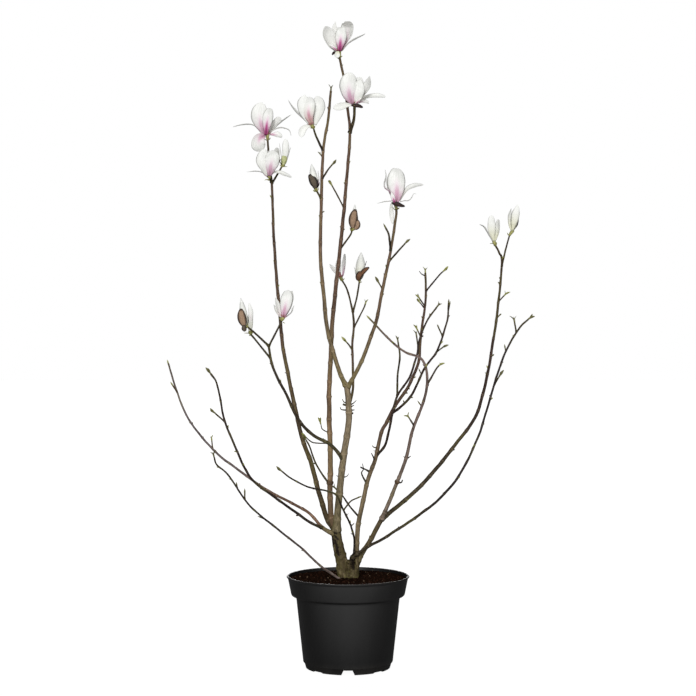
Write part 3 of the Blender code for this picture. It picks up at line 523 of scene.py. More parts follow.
# %% Compost material
def make_compost():
    material, tree, shader = new_material("compost", 0.95)
    place = object_place(tree)
    coarse = grain(tree, place, 380.0, 380.0)
    fine = grain(tree, place, 1500.0, 1500.0)
    colour = blend(tree, ramp(tree, coarse["Streaks"], 0.35, 0.65), (14, 9, 6), (35, 22, 15))
    colour = blend(tree, ramp(tree, fine["Streaks"], 0.45, 0.7, 0.0, 0.6), colour, (58, 36, 26))
    finish_shader(tree, shader, colour, 0.0, fine["Streaks"], 0.8 * MM, 0.8)
    return material


new_piece("compost_bed", soil, [make_compost()], ["soil"])

# %% [markdown]
# Loose crumbs break the surface up. Modelling thousands one by one would be slow, so eight lumpy
# shapes of twenty faces are copied by numpy into one mesh, each copy turned, sized and placed by
# seeded dice. Three plain colours are dealt out among them.

# %% Scatter crumbs
CRUMBS = 4200
CRUMB_SIZE = (1.2 * MM, 4.6 * MM)
CRUMB_EDGE = 129 * MM
TRUNK_ROOM = 19 * MM  # the radius round the trunk that is kept free of large crumbs


def lumpy_shapes(dice, count):
    """A few uneven bits of twenty faces, as arrays of corners, and the faces they all share."""
    shapes = []
    for _ in range(count):
        bm = bmesh.new()
        bmesh.ops.create_icosphere(bm, subdivisions=1, radius=0.5)
        bm.verts.index_update()
        for vert in bm.verts:
            vert.co *= dice.uniform(0.7, 1.3)
        bmesh.ops.scale(bm, verts=bm.verts, vec=(1.0, dice.uniform(0.55, 1.0), dice.uniform(0.4, 0.8)))
        shapes.append(np.array([vert.co[:] for vert in bm.verts]))
        faces = np.array([[vert.index for vert in face.verts] for face in bm.faces])
        bm.free()
    return shapes, faces


def copies_mesh(name, shapes, faces, places, shades):
    """One mesh of many copies: shapes and places pair up, and shades gives each copy's material."""
    corners = np.concatenate([shape @ np.array(place.to_3x3()).T + np.array(place.translation)
                              for shape, place in zip(shapes, places)])
    count, step = len(places), len(shapes[0])
    index = (faces[None] + step * np.arange(count)[:, None, None]).reshape(-1, faces.shape[1])
    mesh = bpy.data.meshes.new(name)
    mesh.from_pydata(corners.tolist(), [], index.tolist())
    mesh.polygons.foreach_set("material_index", np.repeat(shades, len(faces)).astype(np.int32))
    return mesh


def scatter_crumbs():
    dice = random.Random(11)
    shapes, faces = lumpy_shapes(dice, 8)
    chosen, places, shades = [], [], []
    while len(places) < CRUMBS:
        turn = dice.uniform(0, 2 * math.pi)
        radius = CRUMB_EDGE * math.sqrt(dice.random())
        size = CRUMB_SIZE[0] + (CRUMB_SIZE[1] - CRUMB_SIZE[0]) * dice.random() ** 3
        if radius < TRUNK_ROOM * 0.6 or (radius < TRUNK_ROOM and size > 2.2 * MM):
            continue
        spot = Vector((radius * math.cos(turn), radius * math.sin(turn), 0))
        spot.z = soil_height(radius) + clods(spot) + size * 0.12
        tilt = Matrix.Rotation(dice.uniform(0, math.pi), 4, Vector((dice.random(), dice.random(), 1)))
        places.append(Matrix.Translation(spot) @ tilt @ Matrix.Scale(size, 4))
        chosen.append(dice.choice(shapes))
        shades.append(dice.choices((0, 1, 2), weights=(72, 26, 2))[0])
    return copies_mesh("crumbs", chosen, faces, places, shades)


CRUMB_SHADES = {"dark_crumb": ((16, 10, 8), (32, 21, 16)), "red_crumb": ((40, 24, 18), (72, 45, 33)),
                "pale_crumb": ((92, 74, 58), (140, 120, 98))}
crumb_materials = [two_tone(name, *shades, 0.92, 900.0, 900.0, 0.5 * MM, 0.6, gloss=0.0)
                   for name, shades in CRUMB_SHADES.items()]
finish_piece("crumbs", scatter_crumbs(), crumb_materials)

# %% [markdown]
# Every stem on this plant is one of the limbs below, the same table that the solids were made
# from. A limb is a row of spots as (across, height, depth) in centimetres, as they are seen from
# the front; a smooth curve through them gives its path, and its thickness runs evenly from foot
# to tip. The spots were read off the photograph in pixels, and a small script turned them
# into centimetres. Their depths are guesses.

# %% The limbs
TRUNK_PARTS = ("trunk_left", "trunk_right", "trunk_crotch")
LIMBS = {
    "trunk_left": dict(
        spots=[(-0.8, 19.4, 0), (-1.2, 22.6, 0), (-1.65, 25, 0), (-2.4, 28.2, 0), (-2.7, 30.6, 0),
               (-2.85, 32, 0)],
        radii=[11, 14, 13.2, 12.2, 11.2, 7.5], bough=6),
    "trunk_right": dict(
        spots=[(1, 19.4, 0), (1.2, 22.6, 0), (1.75, 24.8, 0), (2.2, 26.2, 0)],
        radii=[11, 13.6, 12, 7.5], bough=4),
    "trunk_crotch": dict(
        spots=[(0.1, 19.4, 0), (0.1, 22.6, 0), (0.2, 24.3, 0)], radii=[10, 9, 5], bough=3),
    "rear_middle": dict(
        spots=[(-2.75, 31, 0.4), (-3.9, 34.7, 1.4), (-4.1, 41.3, 2.2), (-4, 47, 2.5),
               (-4.3, 59.8, 2.3), (-4, 69.8, 2), (-3.3, 81.4, 2), (-1.9, 94.1, 3.5),
               (-0.6, 107.3, 6), (0.4, 120.5, 8), (0, 126, 9.5), (-0.9, 133.4, 10.5),
               (-1.9, 138.6, 11)],
        foot=6.2, tip=2.2, bough=8),
    "front": dict(
        spots=[(-2.6, 30.9, -0.4), (-2.3, 35.7, -1.6), (-2, 39.5, -2.2), (-1.1, 47, -3.8),
               (0.1, 54.8, -5.8), (0.15, 59.3, -6.4), (-0.3, 64.6, -7)],
        foot=6.4, tip=5.2, bough=7),
    "rear_left": dict(
        spots=[(-2.9, 31, 0.3), (-4.8, 33.8, 2), (-6.6, 39.5, 5), (-8.6, 47, 8),
               (-10.4, 51.8, 11), (-12.6, 61.5, 14), (-14.5, 71, 16), (-15.4, 78.4, 17),
               (-16.8, 96, 17), (-17.3, 109.4, 15.5), (-17.9, 113.5, 17.5), (-18.3, 120, 18)],
        foot=5.6, tip=2, bough=8),
    "front_left": dict(
        spots=[(-0.5, 63.9, -7), (-2.1, 67.6, -8.2), (-4.6, 76.2, -10.5), (-5.5, 84.2, -12),
               (-6.3, 94.1, -13), (-6.1, 105.5, -13), (-5.7, 116.9, -12), (-4.5, 125, -11.2),
               (-3.9, 131, -10)],
        foot=4.6, tip=2.2, bough=5),
    "front_right": dict(
        spots=[(0, 63.6, -7), (3.2, 69.8, -9.5), (6.3, 78.3, -13), (7.7, 84.9, -15),
               (9.8, 95.1, -17), (10.9, 102, -18), (11, 104.2, -18)],
        foot=4.2, tip=2.2, bough=4),
    "front_middle": dict(
        spots=[(0.1, 59, -6.4), (1.1, 62.8, -4.2), (1.1, 68.5, -1), (1, 73.5, 1.5),
               (1.35, 77.5, 3.6), (1.1, 80.7, 5)],
        foot=2.6, tip=2, bough=0),
    "left": dict(
        spots=[(-1.3, 47.4, -4), (-3.9, 50.4, -6.2), (-8.1, 52.8, -9), (-11.3, 56.3, -12),
               (-14.2, 62.2, -15.5), (-17.1, 68.1, -18.5), (-18.1, 73.1, -20)],
        foot=3.6, tip=2.2, bough=5),
    "right_upright": dict(
        spots=[(1.9, 25.2, 0.3), (2.1, 30, 1.4), (2.6, 33.8, 3), (4.5, 42.3, 7),
               (6.2, 47, 9), (7.6, 53.2, 12), (8.8, 55.5, 13), (10.7, 59.3, 15),
               (13.7, 63.7, 16.5), (16, 69.3, 17.5), (16.6, 75.2, 18), (17.7, 83.9, 18.5),
               (17.6, 89.6, 18)],
        foot=5.4, tip=2, bough=8),
    "right_outer": dict(
        spots=[(2.2, 24, -0.2), (3.5, 26.3, -0.4), (4.7, 28.1, -1.2), (8, 34.2, -4.2)],
        foot=5.2, tip=4.8, bough=4),
    "right_middle": dict(
        spots=[(7.7, 33.7, -4), (9.8, 38.5, -8), (13.2, 47.4, -14), (14.7, 53.7, -18),
               (17.3, 60.7, -22), (18, 65.6, -24), (16.8, 69.9, -25), (13.2, 71.5, -26),
               (10, 73.9, -27), (4.9, 79.2, -28)],
        foot=4.2, tip=1.4, bough=4),
    "right_far": dict(
        spots=[(7.6, 33.5, -3.9), (12.7, 37.6, -1), (16.9, 41.5, 2), (21, 46.2, 5),
               (28.4, 55.8, 10.5), (30.5, 61.4, 13), (32, 67.9, 15), (33.7, 78.6, 17),
               (35, 91.4, 19), (34.4, 94.2, 18.6), (33.5, 95.9, 18.4)],
        foot=4.6, tip=2, bough=6),
    "right_low": dict(
        spots=[(1, 24.6, -0.9), (2.6, 26, -1.8), (5.1, 27.6, -2.8), (9.1, 29.8, -5.5),
               (19.6, 37.1, -13.5), (25.6, 44, -18), (29.8, 52.8, -20.5), (32.1, 60.2, -22),
               (35.5, 70.8, -23.5), (38.9, 76.9, -24), (41, 79, -24)],
        foot=3, tip=1.5, bough=6),
    "right_inner": dict(
        spots=[(6.5, 48, 9.6), (8.4, 50.3, 7.6), (9.3, 53.6, 6), (11, 61.1, 4),
               (14, 65.9, 2.5), (15.7, 70.9, 1.5), (16.2, 74.1, 1), (18, 78.7, 0),
               (20.2, 81.8, -1)],
        foot=2.7, tip=1.5, bough=4),
    "right_back": dict(
        spots=[(9.9, 57.6, 14.2), (11.9, 59, 17), (14.5, 61.9, 19.5), (17.5, 68, 23),
               (20.3, 71.9, 26), (22.5, 78.5, 28), (22.9, 82.8, 29)],
        foot=2.8, tip=1.6, bough=0),
    "left_low": dict(
        spots=[(-2.8, 29.9, 0), (-4.9, 31, -1.2), (-6.6, 32.2, -2)],
        foot=4.6, tip=4.2, bough=3),
    "left_upper": dict(
        spots=[(-6.1, 31.8, -1.9), (-8.2, 34.3, -0.8), (-10.9, 36.2, 1), (-18.9, 40.5, 6),
               (-26.1, 45.6, 12), (-30.4, 49.1, 15), (-35.8, 55.5, 18.5), (-38.7, 61.9, 20.5),
               (-40.9, 69, 22)],
        foot=3, tip=1.6, bough=5),
    "left_lower": dict(
        spots=[(-6, 31.6, -2), (-8.4, 32.7, -3.6), (-12.6, 35.6, -5), (-20.6, 41.4, -9),
               (-23.3, 44.8, -11), (-25.4, 49.4, -13), (-28.2, 56.4, -15.5), (-29.7, 64, -17),
               (-31.2, 66.6, -18)],
        foot=2.8, tip=1.5, bough=4),
    "from_soil": dict(
        spots=[(-1.9, 19.9, -1.9), (-6.3, 23, -4), (-10.9, 27.2, -8), (-15.4, 30.8, -11.5),
               (-22.3, 36.6, -16), (-27.1, 43.4, -19), (-29.8, 45.9, -20), (-30.5, 47.8, -21)],
        foot=2.2, tip=1.3, bough=4),
    "inner": dict(
        spots=[(1.3, 24.9, -0.8), (1.4, 28.9, -2.6), (0.6, 32.1, -4.2), (-1.2, 35.9, -6.2),
               (-2.6, 38.9, -7.6), (-4.9, 40, -8.6), (-9.4, 41, -10.5), (-12.9, 42.8, -12),
               (-15, 44.4, -13)],
        foot=1.9, tip=1.3, bough=0),
    "knot": dict(
        spots=[(-4.1, 41.2, 2.2), (-7.3, 46.2, 1.2), (-8.7, 50, 0.2), (-9.5, 51.5, -0.4)],
        foot=1.8, tip=1.3, bough=0),
    "behind": dict(
        spots=[(2.5, 34, 3.1), (0.4, 36.5, 4.8), (-1.3, 38.9, 6), (-2.7, 40.4, 6.8)],
        foot=1.8, tip=1.2, bough=0),
}
print("limbs:", len(LIMBS))

# %% [markdown]
# A point seen at a place in the picture may lie anywhere on the line of sight, so each spot is slid
# along that line to its depth. The curve through the spots is cut into short steps, because bark
# relief and the rings at the nodes need many more rings of points than the plain solids have.

# %% Paths
RING_STEP = 3.0 * CM  # the spacing of the source's rings, which the spurs are counted along
FINE_STEP = 2.5 * MM


def spot_at(across, height, depth):
    reach = (VIEW_DISTANCE + depth * CM) / VIEW_DISTANCE
    rise = height * CM - EYE_HEIGHT
    return Vector((across * CM * reach, depth * CM, EYE_HEIGHT + rise * reach))


def between(a, b, c, d, share):
    """The point between b and c on a smooth curve through all four."""
    return 0.5 * (2 * b + (c - a) * share + (2 * a - 5 * b + 4 * c - d) * share**2
                  + (3 * b - a - 3 * c + d) * share**3)


def smooth_path(points, step):
    """Points along a smooth curve through these, and where in that list each of these lies."""
    ends = [2 * points[0] - points[1], *points, 2 * points[-1] - points[-2]]
    path = [points[0]]
    stations = [0]
    for i in range(len(points) - 1):
        count = max(1, round((points[i + 1] - points[i]).length / step))
        path += [between(*ends[i:i + 4], (k + 1) / count) for k in range(count)]
        stations.append(len(path) - 1)
    return path, stations


def distances_along(path):
    along = [0.0]
    for a, b in zip(path, path[1:]):
        along.append(along[-1] + (b - a).length)
    return along


def limb_shape(name, step):
    """A limb's path, the radius at each of its points, and the path's index at each spot."""
    limb = LIMBS[name]
    path, stations = smooth_path([spot_at(*spot) for spot in limb["spots"]], step)
    along = distances_along(path)
    if "radii" in limb:
        marks = [along[k] for k in stations]
        radii = [float(np.interp(x, marks, limb["radii"])) for x in along]
    else:
        radii = [limb["foot"] + (limb["tip"] - limb["foot"]) * x / along[-1] for x in along]
    return path, [radius * MM for radius in radii], stations


total_length = sum(distances_along(limb_shape(name, FINE_STEP)[0])[-1] for name in LIMBS)
print("length of all limbs", round(total_length, 2), "m")

# %% [markdown]
# A stem could be a curve with a round bevel, but then its skin has no points to push about. Here a
# circle is drawn round the path's first point and extruded ring by ring, and each new ring is
# turned, sized and moved by one matrix. While a ring is laid, its points note where they would be
# on a straight stem. That straight place drives the bark's grain, so the grain follows every bend.

# %% Grow a stem ring by ring
def ring_places(path, radii):
    """For each point of a path, the matrix that brings a circle of radius 1 there."""
    places = []
    side = (path[1] - path[0]).orthogonal().normalized()
    for i, (point, radius) in enumerate(zip(path, radii)):
        way = (path[min(i + 1, len(path) - 1)] - path[max(i - 1, 0)]).normalized()
        side = (side - way * side.dot(way)).normalized()
        turn = Matrix((side, way.cross(side), way)).transposed().to_4x4()
        places.append(Matrix.Translation(point) @ turn @ Matrix.Scale(radius, 4))
    return places


def grow_tube(bm, path, radii, sides):
    """A closed tube in bm. Returns its rings, each a list of points."""
    places = ring_places(path, radii)
    start = bmesh.ops.create_circle(bm, cap_ends=True, segments=sides, radius=1.0, matrix=places[0])
    ring = start["verts"]
    rings = [ring]
    edges = list(dict.fromkeys(edge for vert in ring for edge in vert.link_edges))
    for old, new in zip(places, places[1:]):
        grown = bmesh.ops.extrude_edge_only(bm, edges=edges)["geom"]
        ring = [item for item in grown if isinstance(item, bmesh.types.BMVert)]
        in_ring = set(ring)
        edges = [item for item in grown if isinstance(item, bmesh.types.BMEdge)
                 and item.verts[0] in in_ring and item.verts[1] in in_ring]
        bmesh.ops.transform(bm, matrix=new @ old.inverted(), verts=ring)
        rings.append(ring)
    bmesh.ops.contextual_create(bm, geom=edges)
    return rings


test = bmesh.new()
grow_tube(test, [Vector((0, 0, 0.01 * k)) for k in range(4)], [0.002] * 4, 8)
turn_out(test)
print("a straight test stem holds", round(test.calc_volume() / MM**3, 1), "cubic mm")
test.free()

# %% [markdown]
# The trunk is where the limbs melt together, so separate tubes would show seams. Rough tubes for
# the two legs, the web between them, the knobs of the root flare and the first stretch of each
# limb are laid over each other, and a voxel remesh turns the heap into one skin, a little under a
# millimetre fine.

# %% Melt the trunk together
TRUNK_SIDES = 20
TRUNK_VOXEL = 0.9 * MM
FLARE_RISE = 9 * MM
FLARE_SHARE = 0.22
STUB_LENGTH = 18 * MM
FOOT_KNOBS = 9
STUBS = ("rear_middle", "front", "rear_left", "left_low", "right_upright", "right_outer", "right_low")


def flared(point, radius):
    """The trunk's radius, swelling towards the compost."""
    return radius * (1 + FLARE_SHARE * math.exp(-max(0.0, point.z - SOIL_TOP) / FLARE_RISE))


def rough_trunk():
    bm = bmesh.new()
    for name in TRUNK_PARTS:
        path, radii, _ = limb_shape(name, 4 * MM)
        grow_tube(bm, path, [flared(p, r) for p, r in zip(path, radii)], TRUNK_SIDES)
    for name in STUBS:
        path, radii, _ = limb_shape(name, 4 * MM)
        end = sum(x < STUB_LENGTH for x in distances_along(path))
        grow_tube(bm, path[:end], [r * 1.12 for r in radii[:end]], 12)
    dice = random.Random(4)
    for k in range(FOOT_KNOBS):
        turn = 2 * math.pi * (k + dice.uniform(-0.3, 0.3)) / FOOT_KNOBS
        height = SOIL_TOP + dice.uniform(-1, 9) * MM
        spot = Vector((19 * MM * math.cos(turn), 11 * MM * math.sin(turn), height))
        size = Matrix.Diagonal((1, 1, dice.uniform(1.0, 1.9), 1))
        bmesh.ops.create_icosphere(bm, subdivisions=2, radius=dice.uniform(4.0, 6.5) * MM,
                                   matrix=Matrix.Translation(spot) @ size)
    return bm


def remeshed(bm, voxel):
    """The bmesh's skin, remade evenly with this spacing."""
    mesh = bpy.data.meshes.new("rough")
    turn_out(bm)
    bm.to_mesh(mesh)
    bm.free()
    obj = bpy.data.objects.new("rough", mesh)
    bpy.context.scene.collection.objects.link(obj)
    modifier = obj.modifiers.new("melt", "REMESH")
    modifier.mode = "VOXEL"
    modifier.voxel_size = voxel
    bpy.context.view_layer.update()
    result = bpy.data.meshes.new_from_object(obj.evaluated_get(bpy.context.evaluated_depsgraph_get()))
    bpy.data.objects.remove(obj)
    skin = bmesh.new()
    skin.from_mesh(result)
    return skin


trunk = remeshed(rough_trunk(), TRUNK_VOXEL)
for _ in range(3):
    bmesh.ops.smooth_vert(trunk, verts=trunk.verts, factor=0.5, use_axis_x=True, use_axis_y=True,
                          use_axis_z=True)
print("trunk faces", len(trunk.faces))

# %% [markdown]
# Old magnolia bark is smooth between low ridges and knobs. Where the two legs part there is a
# deep hollow, painted near-black as shade, the left leg carries dark lines and bands and a dark
# edge painted as shade, with a pale collar above them, and the right one the knobbly root of its
# lowest branch. Ridges are noise drawn out upwards and pushed along each point's normal, and every
# mark is a stretch from one place to another with a reach round it. Masks kept on the points tell
# the material where it is dark, partly as painted shade, and where it is pale or mossy. The low
# places between the ridges are painted darker as shade too.

# %% Carve the trunk
RIDGE_HEIGHT = 0.6 * MM
RIDGE_WAVES = (330, 760)  # per metre
KNOB_HEIGHT = 1.7 * MM
MOSS_RISE = 26 * MM
OLD_BELOW = 240 * MM
MARKED_TO = 2 * MM  # marks lie on the trunk's front, up to this far back
# Each mark: from (across, height), to (across, height), in cm, reach, rise out of the bark, in mm
DARK_AND_SHADED_MARKS = [
    # The first two marks paint the deep hollow where the legs part near-black, and the one from (-3.8, 30)
    # darkens the left leg's outer edge: painted shade. The rest darken the bark in lines and bands.
    ((0.9, 24.4), (1.05, 23.4), 8.4, -5), ((1.05, 23.4), (1.2, 22.7), 6.4, -4),
    ((-4.3, 30.8), (-2.6, 30.4), 2.6, -0.8), ((-2.9, 29.8), (-2.3, 29.1), 3.2, -0.8),
    ((-3.8, 30), (-3.4, 28), 4.2, -0.8), ((-3, 28.8), (-2.6, 27.4), 4, -1),
    ((-2.6, 27.4), (-2.2, 25.6), 4.6, -1), ((1.5, 25.3), (2.6, 25.9), 1.3, 0.6),
]
PALE_MARKS = [
    ((-2.9, 31), (-2.5, 30.8), 2.6, 1.3), ((-0.5, 24.7), (-0.4, 24.1), 2.4, 1.6),
    ((-3.15, 27.2), (-2.9, 26.2), 1.8, 0.6), ((1.9, 24.4), (2.2, 22.6), 3, 0.8),
    ((1.9, 25.9), (3, 26.5), 2.2, 1.5), ((-1, 21.2), (-0.7, 20.6), 2.8, 1.4),
    ((0.6, 20.9), (1.2, 20.7), 2.6, 1.2), ((-1.9, 22), (-1.6, 21.2), 2.4, 1),
]


def mark_share(place, mark):
    """1 along a mark on the front of the trunk, fading to 0 at its ragged edge."""
    start, end, reach, _ = mark
    start, end = (Vector((x * CM, z * CM)) for x, z in (start, end))
    here = Vector((place.x, place.z))
    along = clamp((here - start).dot(end - start) / (end - start).length_squared)
    away = (here - start.lerp(end, along)).length / (reach * MM)
    return max(0.0, 1 - (away * (1 + 0.8 * noise.noise(place * 380))) ** 1.8)


def marks_at(place, marks):
    """The strongest share of any of these marks here, and how far they lift the bark."""
    if place.y > MARKED_TO:
        return 0.0, 0.0
    shares = [mark_share(place, mark) for mark in marks]
    return max(shares), sum(share * mark[3] for share, mark in zip(shares, marks)) * MM


dark_and_shade_layer, pale_layer, moss_layer, age_layer = (
    trunk.verts.layers.float.new(name) for name in ("dark", "pale", "moss", "age"))
straight_layer = trunk.verts.layers.float_vector.new("straight")
trunk.normal_update()
for vert in trunk.verts:
    place = vert.co.copy()
    drawn = Vector((place.x, place.y, place.z * 0.28))
    ridges = noise.noise(drawn * RIDGE_WAVES[0]) + 0.5 * noise.noise(drawn * RIDGE_WAVES[1])
    knobs = max(0.0, noise.noise(place * 120) - 0.02) * 2
    low = math.exp(-max(0.0, place.z - SOIL_TOP) / MOSS_RISE)
    dark, cut = marks_at(place, DARK_AND_SHADED_MARKS)
    pale, lift = marks_at(place, PALE_MARKS)
    vert.co += vert.normal * (RIDGE_HEIGHT * ridges + KNOB_HEIGHT * knobs * (0.5 + low) + cut + lift)
    # The low places between ridges are painted darker as shade, and more so towards the compost.
    painted_crevice_shade = clamp(-1.6 * (ridges + 0.35) + 0.5 * low)
    vert[dark_and_shade_layer] = min(1.0, 1.3 * dark + 0.55 * painted_crevice_shade)
    vert[pale_layer] = max(0.0, pale - dark)
    vert[moss_layer] = clamp(low * (0.75 + 1.8 * noise.noise(place * 260)))
    vert[straight_layer] = place
    vert[age_layer] = clamp((place.z - OLD_BELOW) / (70 * MM))
print("marks on the trunk:", len(DARK_AND_SHADED_MARKS) + len(PALE_MARKS))

# %% [markdown]
# Young magnolia bark is a thin skin: fine streaks along the stem, grey and olive blotches, pale
# pores, and a paler ring at each old leaf scar. Low down it is older and paler, near the tips it is
# green-brown and fresh. All of that is one node group, and each limb's material gives it its own
# two colours.

# %% The bark group
def make_bark_group():
    group, given, wanted = new_group(
        "bark_look",
        ["Place Vector", "Age Float", "Ring Float", "Fresh Float", "Foot Colour Color", "Top Colour Color"],
        ["Colour Color", "Roughness Float", "Height Float"])
    take = given.outputs
    fine = grain(group, take["Place"], 900.0, 75.0)
    broad = grain(group, take["Place"], 260.0, 60.0)
    pores = grain(group, take["Place"], 420.0, 900.0)
    colour = blend(group, ramp(group, take["Age"], 0.12, 0.55), take["Foot Colour"], take["Top Colour"])
    colour = blend(group, ramp(group, take["Fresh"], 0.0, 1.0, 0.0, 0.6), colour, (76, 68, 38))
    light = blend(group, 0.6, colour, colour, "ADD")
    light = blend(group, 0.10, light, (196, 178, 154))
    deep = blend(group, 0.78, colour, (20, 13, 11))
    colour = blend(group, ramp(group, broad["Streaks"], 0.50, 0.70, 0.0, 0.8), colour, light)
    colour = blend(group, ramp(group, fine["Streaks"], 0.52, 0.36, 0.0, 0.85), colour, deep)
    colour = blend(group, ramp(group, broad["Blotches"], 0.47, 0.38, 0.0, 0.5), colour, deep)
    olive = blend(group, 0.5, colour, (112, 108, 56))
    colour = blend(group, ramp(group, broad["Blotches"], 0.52, 0.62, 0.0, 0.55), colour, olive)
    pale = blend(group, 0.25, light, (188, 172, 142))
    colour = blend(group, calculate(group, "MULTIPLY", pores["Pores"], 0.4), colour, pale)
    colour = blend(group, calculate(group, "MULTIPLY", take["Ring"], 0.45), colour, pale)
    group.links.new(colour, wanted.inputs["Colour"])
    group.links.new(ramp(group, fine["Streaks"], 0.3, 0.7, 0.78, 0.58), wanted.inputs["Roughness"])
    height = calculate(group, "ADD", fine["Streaks"], calculate(group, "MULTIPLY", pores["Pores"], 0.3))
    group.links.new(height, wanted.inputs["Height"])
    return group


bark_group = make_bark_group()


def bark_material(name, foot_colour, top_colour):
    material, tree, shader = new_material(name, 0.7)
    inputs = {"Foot Colour": foot_colour, "Top Colour": top_colour,
              "Place": attribute(tree, "straight", "Vector")}
    for mask in ("age", "ring", "fresh"):
        inputs[mask.title()] = attribute(tree, mask)
    look = add_node(tree, "ShaderNodeGroup", inputs, node_tree=bark_group).outputs
    plug(tree, shader.inputs["Roughness"], look["Roughness"])
    finish_shader(tree, shader, look["Colour"], 0.2, look["Height"], 0.35 * MM, 0.8)
    return material, tree, shader, look["Colour"]


def trunk_bark():
    """Limb bark with near-black painted shade in its hollows, pale knobs and yellow-green moss laid over
    it.
    """
    material, tree, shader, colour = bark_material("trunk_bark", (74, 62, 37), (80, 70, 46))
    spots = grain(tree, attribute(tree, "straight", "Vector"), 620.0, 620.0)
    clouds = grain(tree, attribute(tree, "straight", "Vector"), 210.0, 120.0)
    colour = blend(tree, ramp(tree, clouds["Blotches"], 0.52, 0.64, 0.0, 0.55), colour, (97, 85, 61))
    colour = blend(tree, ramp(tree, clouds["Blotches"], 0.46, 0.36, 0.0, 0.7), colour, (34, 27, 17))
    colour = blend(tree, calculate(tree, "MULTIPLY", attribute(tree, "pale"), 0.5), colour, (140, 124, 96))
    moss = calculate(tree, "MULTIPLY", attribute(tree, "moss"), ramp(tree, spots["Streaks"], 0.46, 0.60))
    colour = blend(tree, moss, colour, (108, 104, 56))
    # Dark bark marks, and near-black painted shade in the hollows, the crotch and along the left leg's
    # edge.
    colour = blend(tree, attribute(tree, "dark"), colour, (30, 21, 12))
    plug(tree, shader.inputs["Base Color"], colour)
    return material


new_piece("trunk_skin", trunk, [trunk_bark()], ["trunk"])

# %% [markdown]
# Each limb on the real plant is a little different: the front ones are pale olive, the low right
# one nearly black, the outer left one grey-mauve. These are the colours of each limb's foot and of
# its upper half. They were picked and darkened by fixed shares, and some were then corrected
# against the mean colour of boxes round the stems in the photograph and in the render.

# %% Bark colours
LIMB_SHADES = {
    "rear_middle": ((142, 116, 87), (106, 81, 65)),
    "front": ((120, 109, 82), (138, 123, 99)),
    "rear_left": ((94, 80, 54), (88, 68, 53)),
    "front_left": ((130, 114, 85), (112, 89, 70)),
    "front_right": ((128, 112, 83), (112, 89, 71)),
    "front_middle": ((97, 80, 63), (90, 71, 57)),
    "left": ((70, 65, 43), (60, 50, 38)),
    "right_upright": ((132, 116, 88), (90, 68, 56)),
    "right_outer": ((113, 102, 72), (99, 86, 62)),
    "right_middle": ((138, 122, 108), (120, 101, 94)),
    "right_far": ((80, 71, 51), (55, 38, 30)),
    "right_low": ((66, 57, 42), (40, 32, 32)),
    "right_inner": ((58, 46, 39), (56, 42, 38)),
    "right_back": ((56, 43, 38), (58, 43, 38)),
    "left_low": ((125, 111, 84), (120, 104, 80)),
    "left_upper": ((129, 99, 80), (111, 99, 99)),
    "left_lower": ((43, 33, 29), (50, 38, 33)),
    "from_soil": ((124, 108, 102), (38, 31, 30)),
    "inner": ((32, 25, 20), (32, 25, 20)),
    "knot": ((30, 24, 20), (28, 22, 18)),
    "behind": ((36, 29, 24), (34, 27, 22)),
}
bark_materials = {name: bark_material("bark_" + name, *shades)[0] for name, shades in LIMB_SHADES.items()}
print("bark materials:", len(bark_materials))

# %% [markdown]
# A stem isn't a smooth cone. It swells into a collar where it leaves its parent, thickens at every
# node, and carries a raised ring where last year's leaf stood, and its path sways a little. The nodes
# are dealt out by seeded dice, so every limb gets its own, and the skin is then pushed in and out
# with drawn-out noise for the bark's relief.

# %% Dress the limbs
THICK_SIDES = 18
THIN_SIDES = 14
NODE_SPACING = (3.0 * CM, 6.5 * CM)
NODE_RING = 1.6 * MM  # half the length of a ring
NODE_SWELLING = 6 * MM
COLLAR_SHARE = 0.45
SWAY = 0.9 * MM
RELIEF = 0.26 * MM
RELIEF_WAVES = (330, 70)  # per metre, across a stem and along it
BARK = 0.35 * MM  # what bark adds to a thick stem's radius, and up to twice that to a thin one's
FRESH_REACH = 9 * CM
STOUTER = {"front": 1.2}  # limbs whose skin is thicker than the plain solid
SIDES_FROM = 4.0  # mm of radius at the foot, above which a limb gets more sides


def deal_nodes(dice, length):
    """Places of the nodes along a stem."""
    places = [dice.uniform(0.5, 1.0) * NODE_SPACING[0]]
    while places[-1] < length:
        places.append(places[-1] + dice.uniform(*NODE_SPACING))
    return places[:-1]


def nearness(x, places, reach):
    return max((math.exp(-((x - place) / reach) ** 2) for place in places), default=0.0)


def swollen(radii, along, nodes, collar):
    """The radii with a collar at the foot and a swelling at each node."""
    result = []
    for radius, x in zip(radii, along):
        foot = COLLAR_SHARE * math.exp(-max(0.0, x - collar) / (1.4 * radii[0]))
        knob = 0.09 * nearness(x, nodes, NODE_SWELLING) + 0.08 * nearness(x, nodes, NODE_RING)
        bark = BARK * (1 + math.exp(-radius / (1.6 * MM)))
        result.append((radius + bark) * (1 + foot + knob))
    return result


def swayed(path, along, seed):
    """The path with a slow sway of less than a millimetre, none at its ends."""
    shift = Vector((seed * 7.3, seed * 3.1, 0))
    last = along[-1]
    result = []
    for point, x in zip(path, along):
        ease = min(1.0, x / (3 * CM), (last - x) / (3 * CM))
        result.append(point + noise.noise_vector(Vector((x * 28, 0, 0)) + shift) * SWAY * max(0.0, ease))
    return result


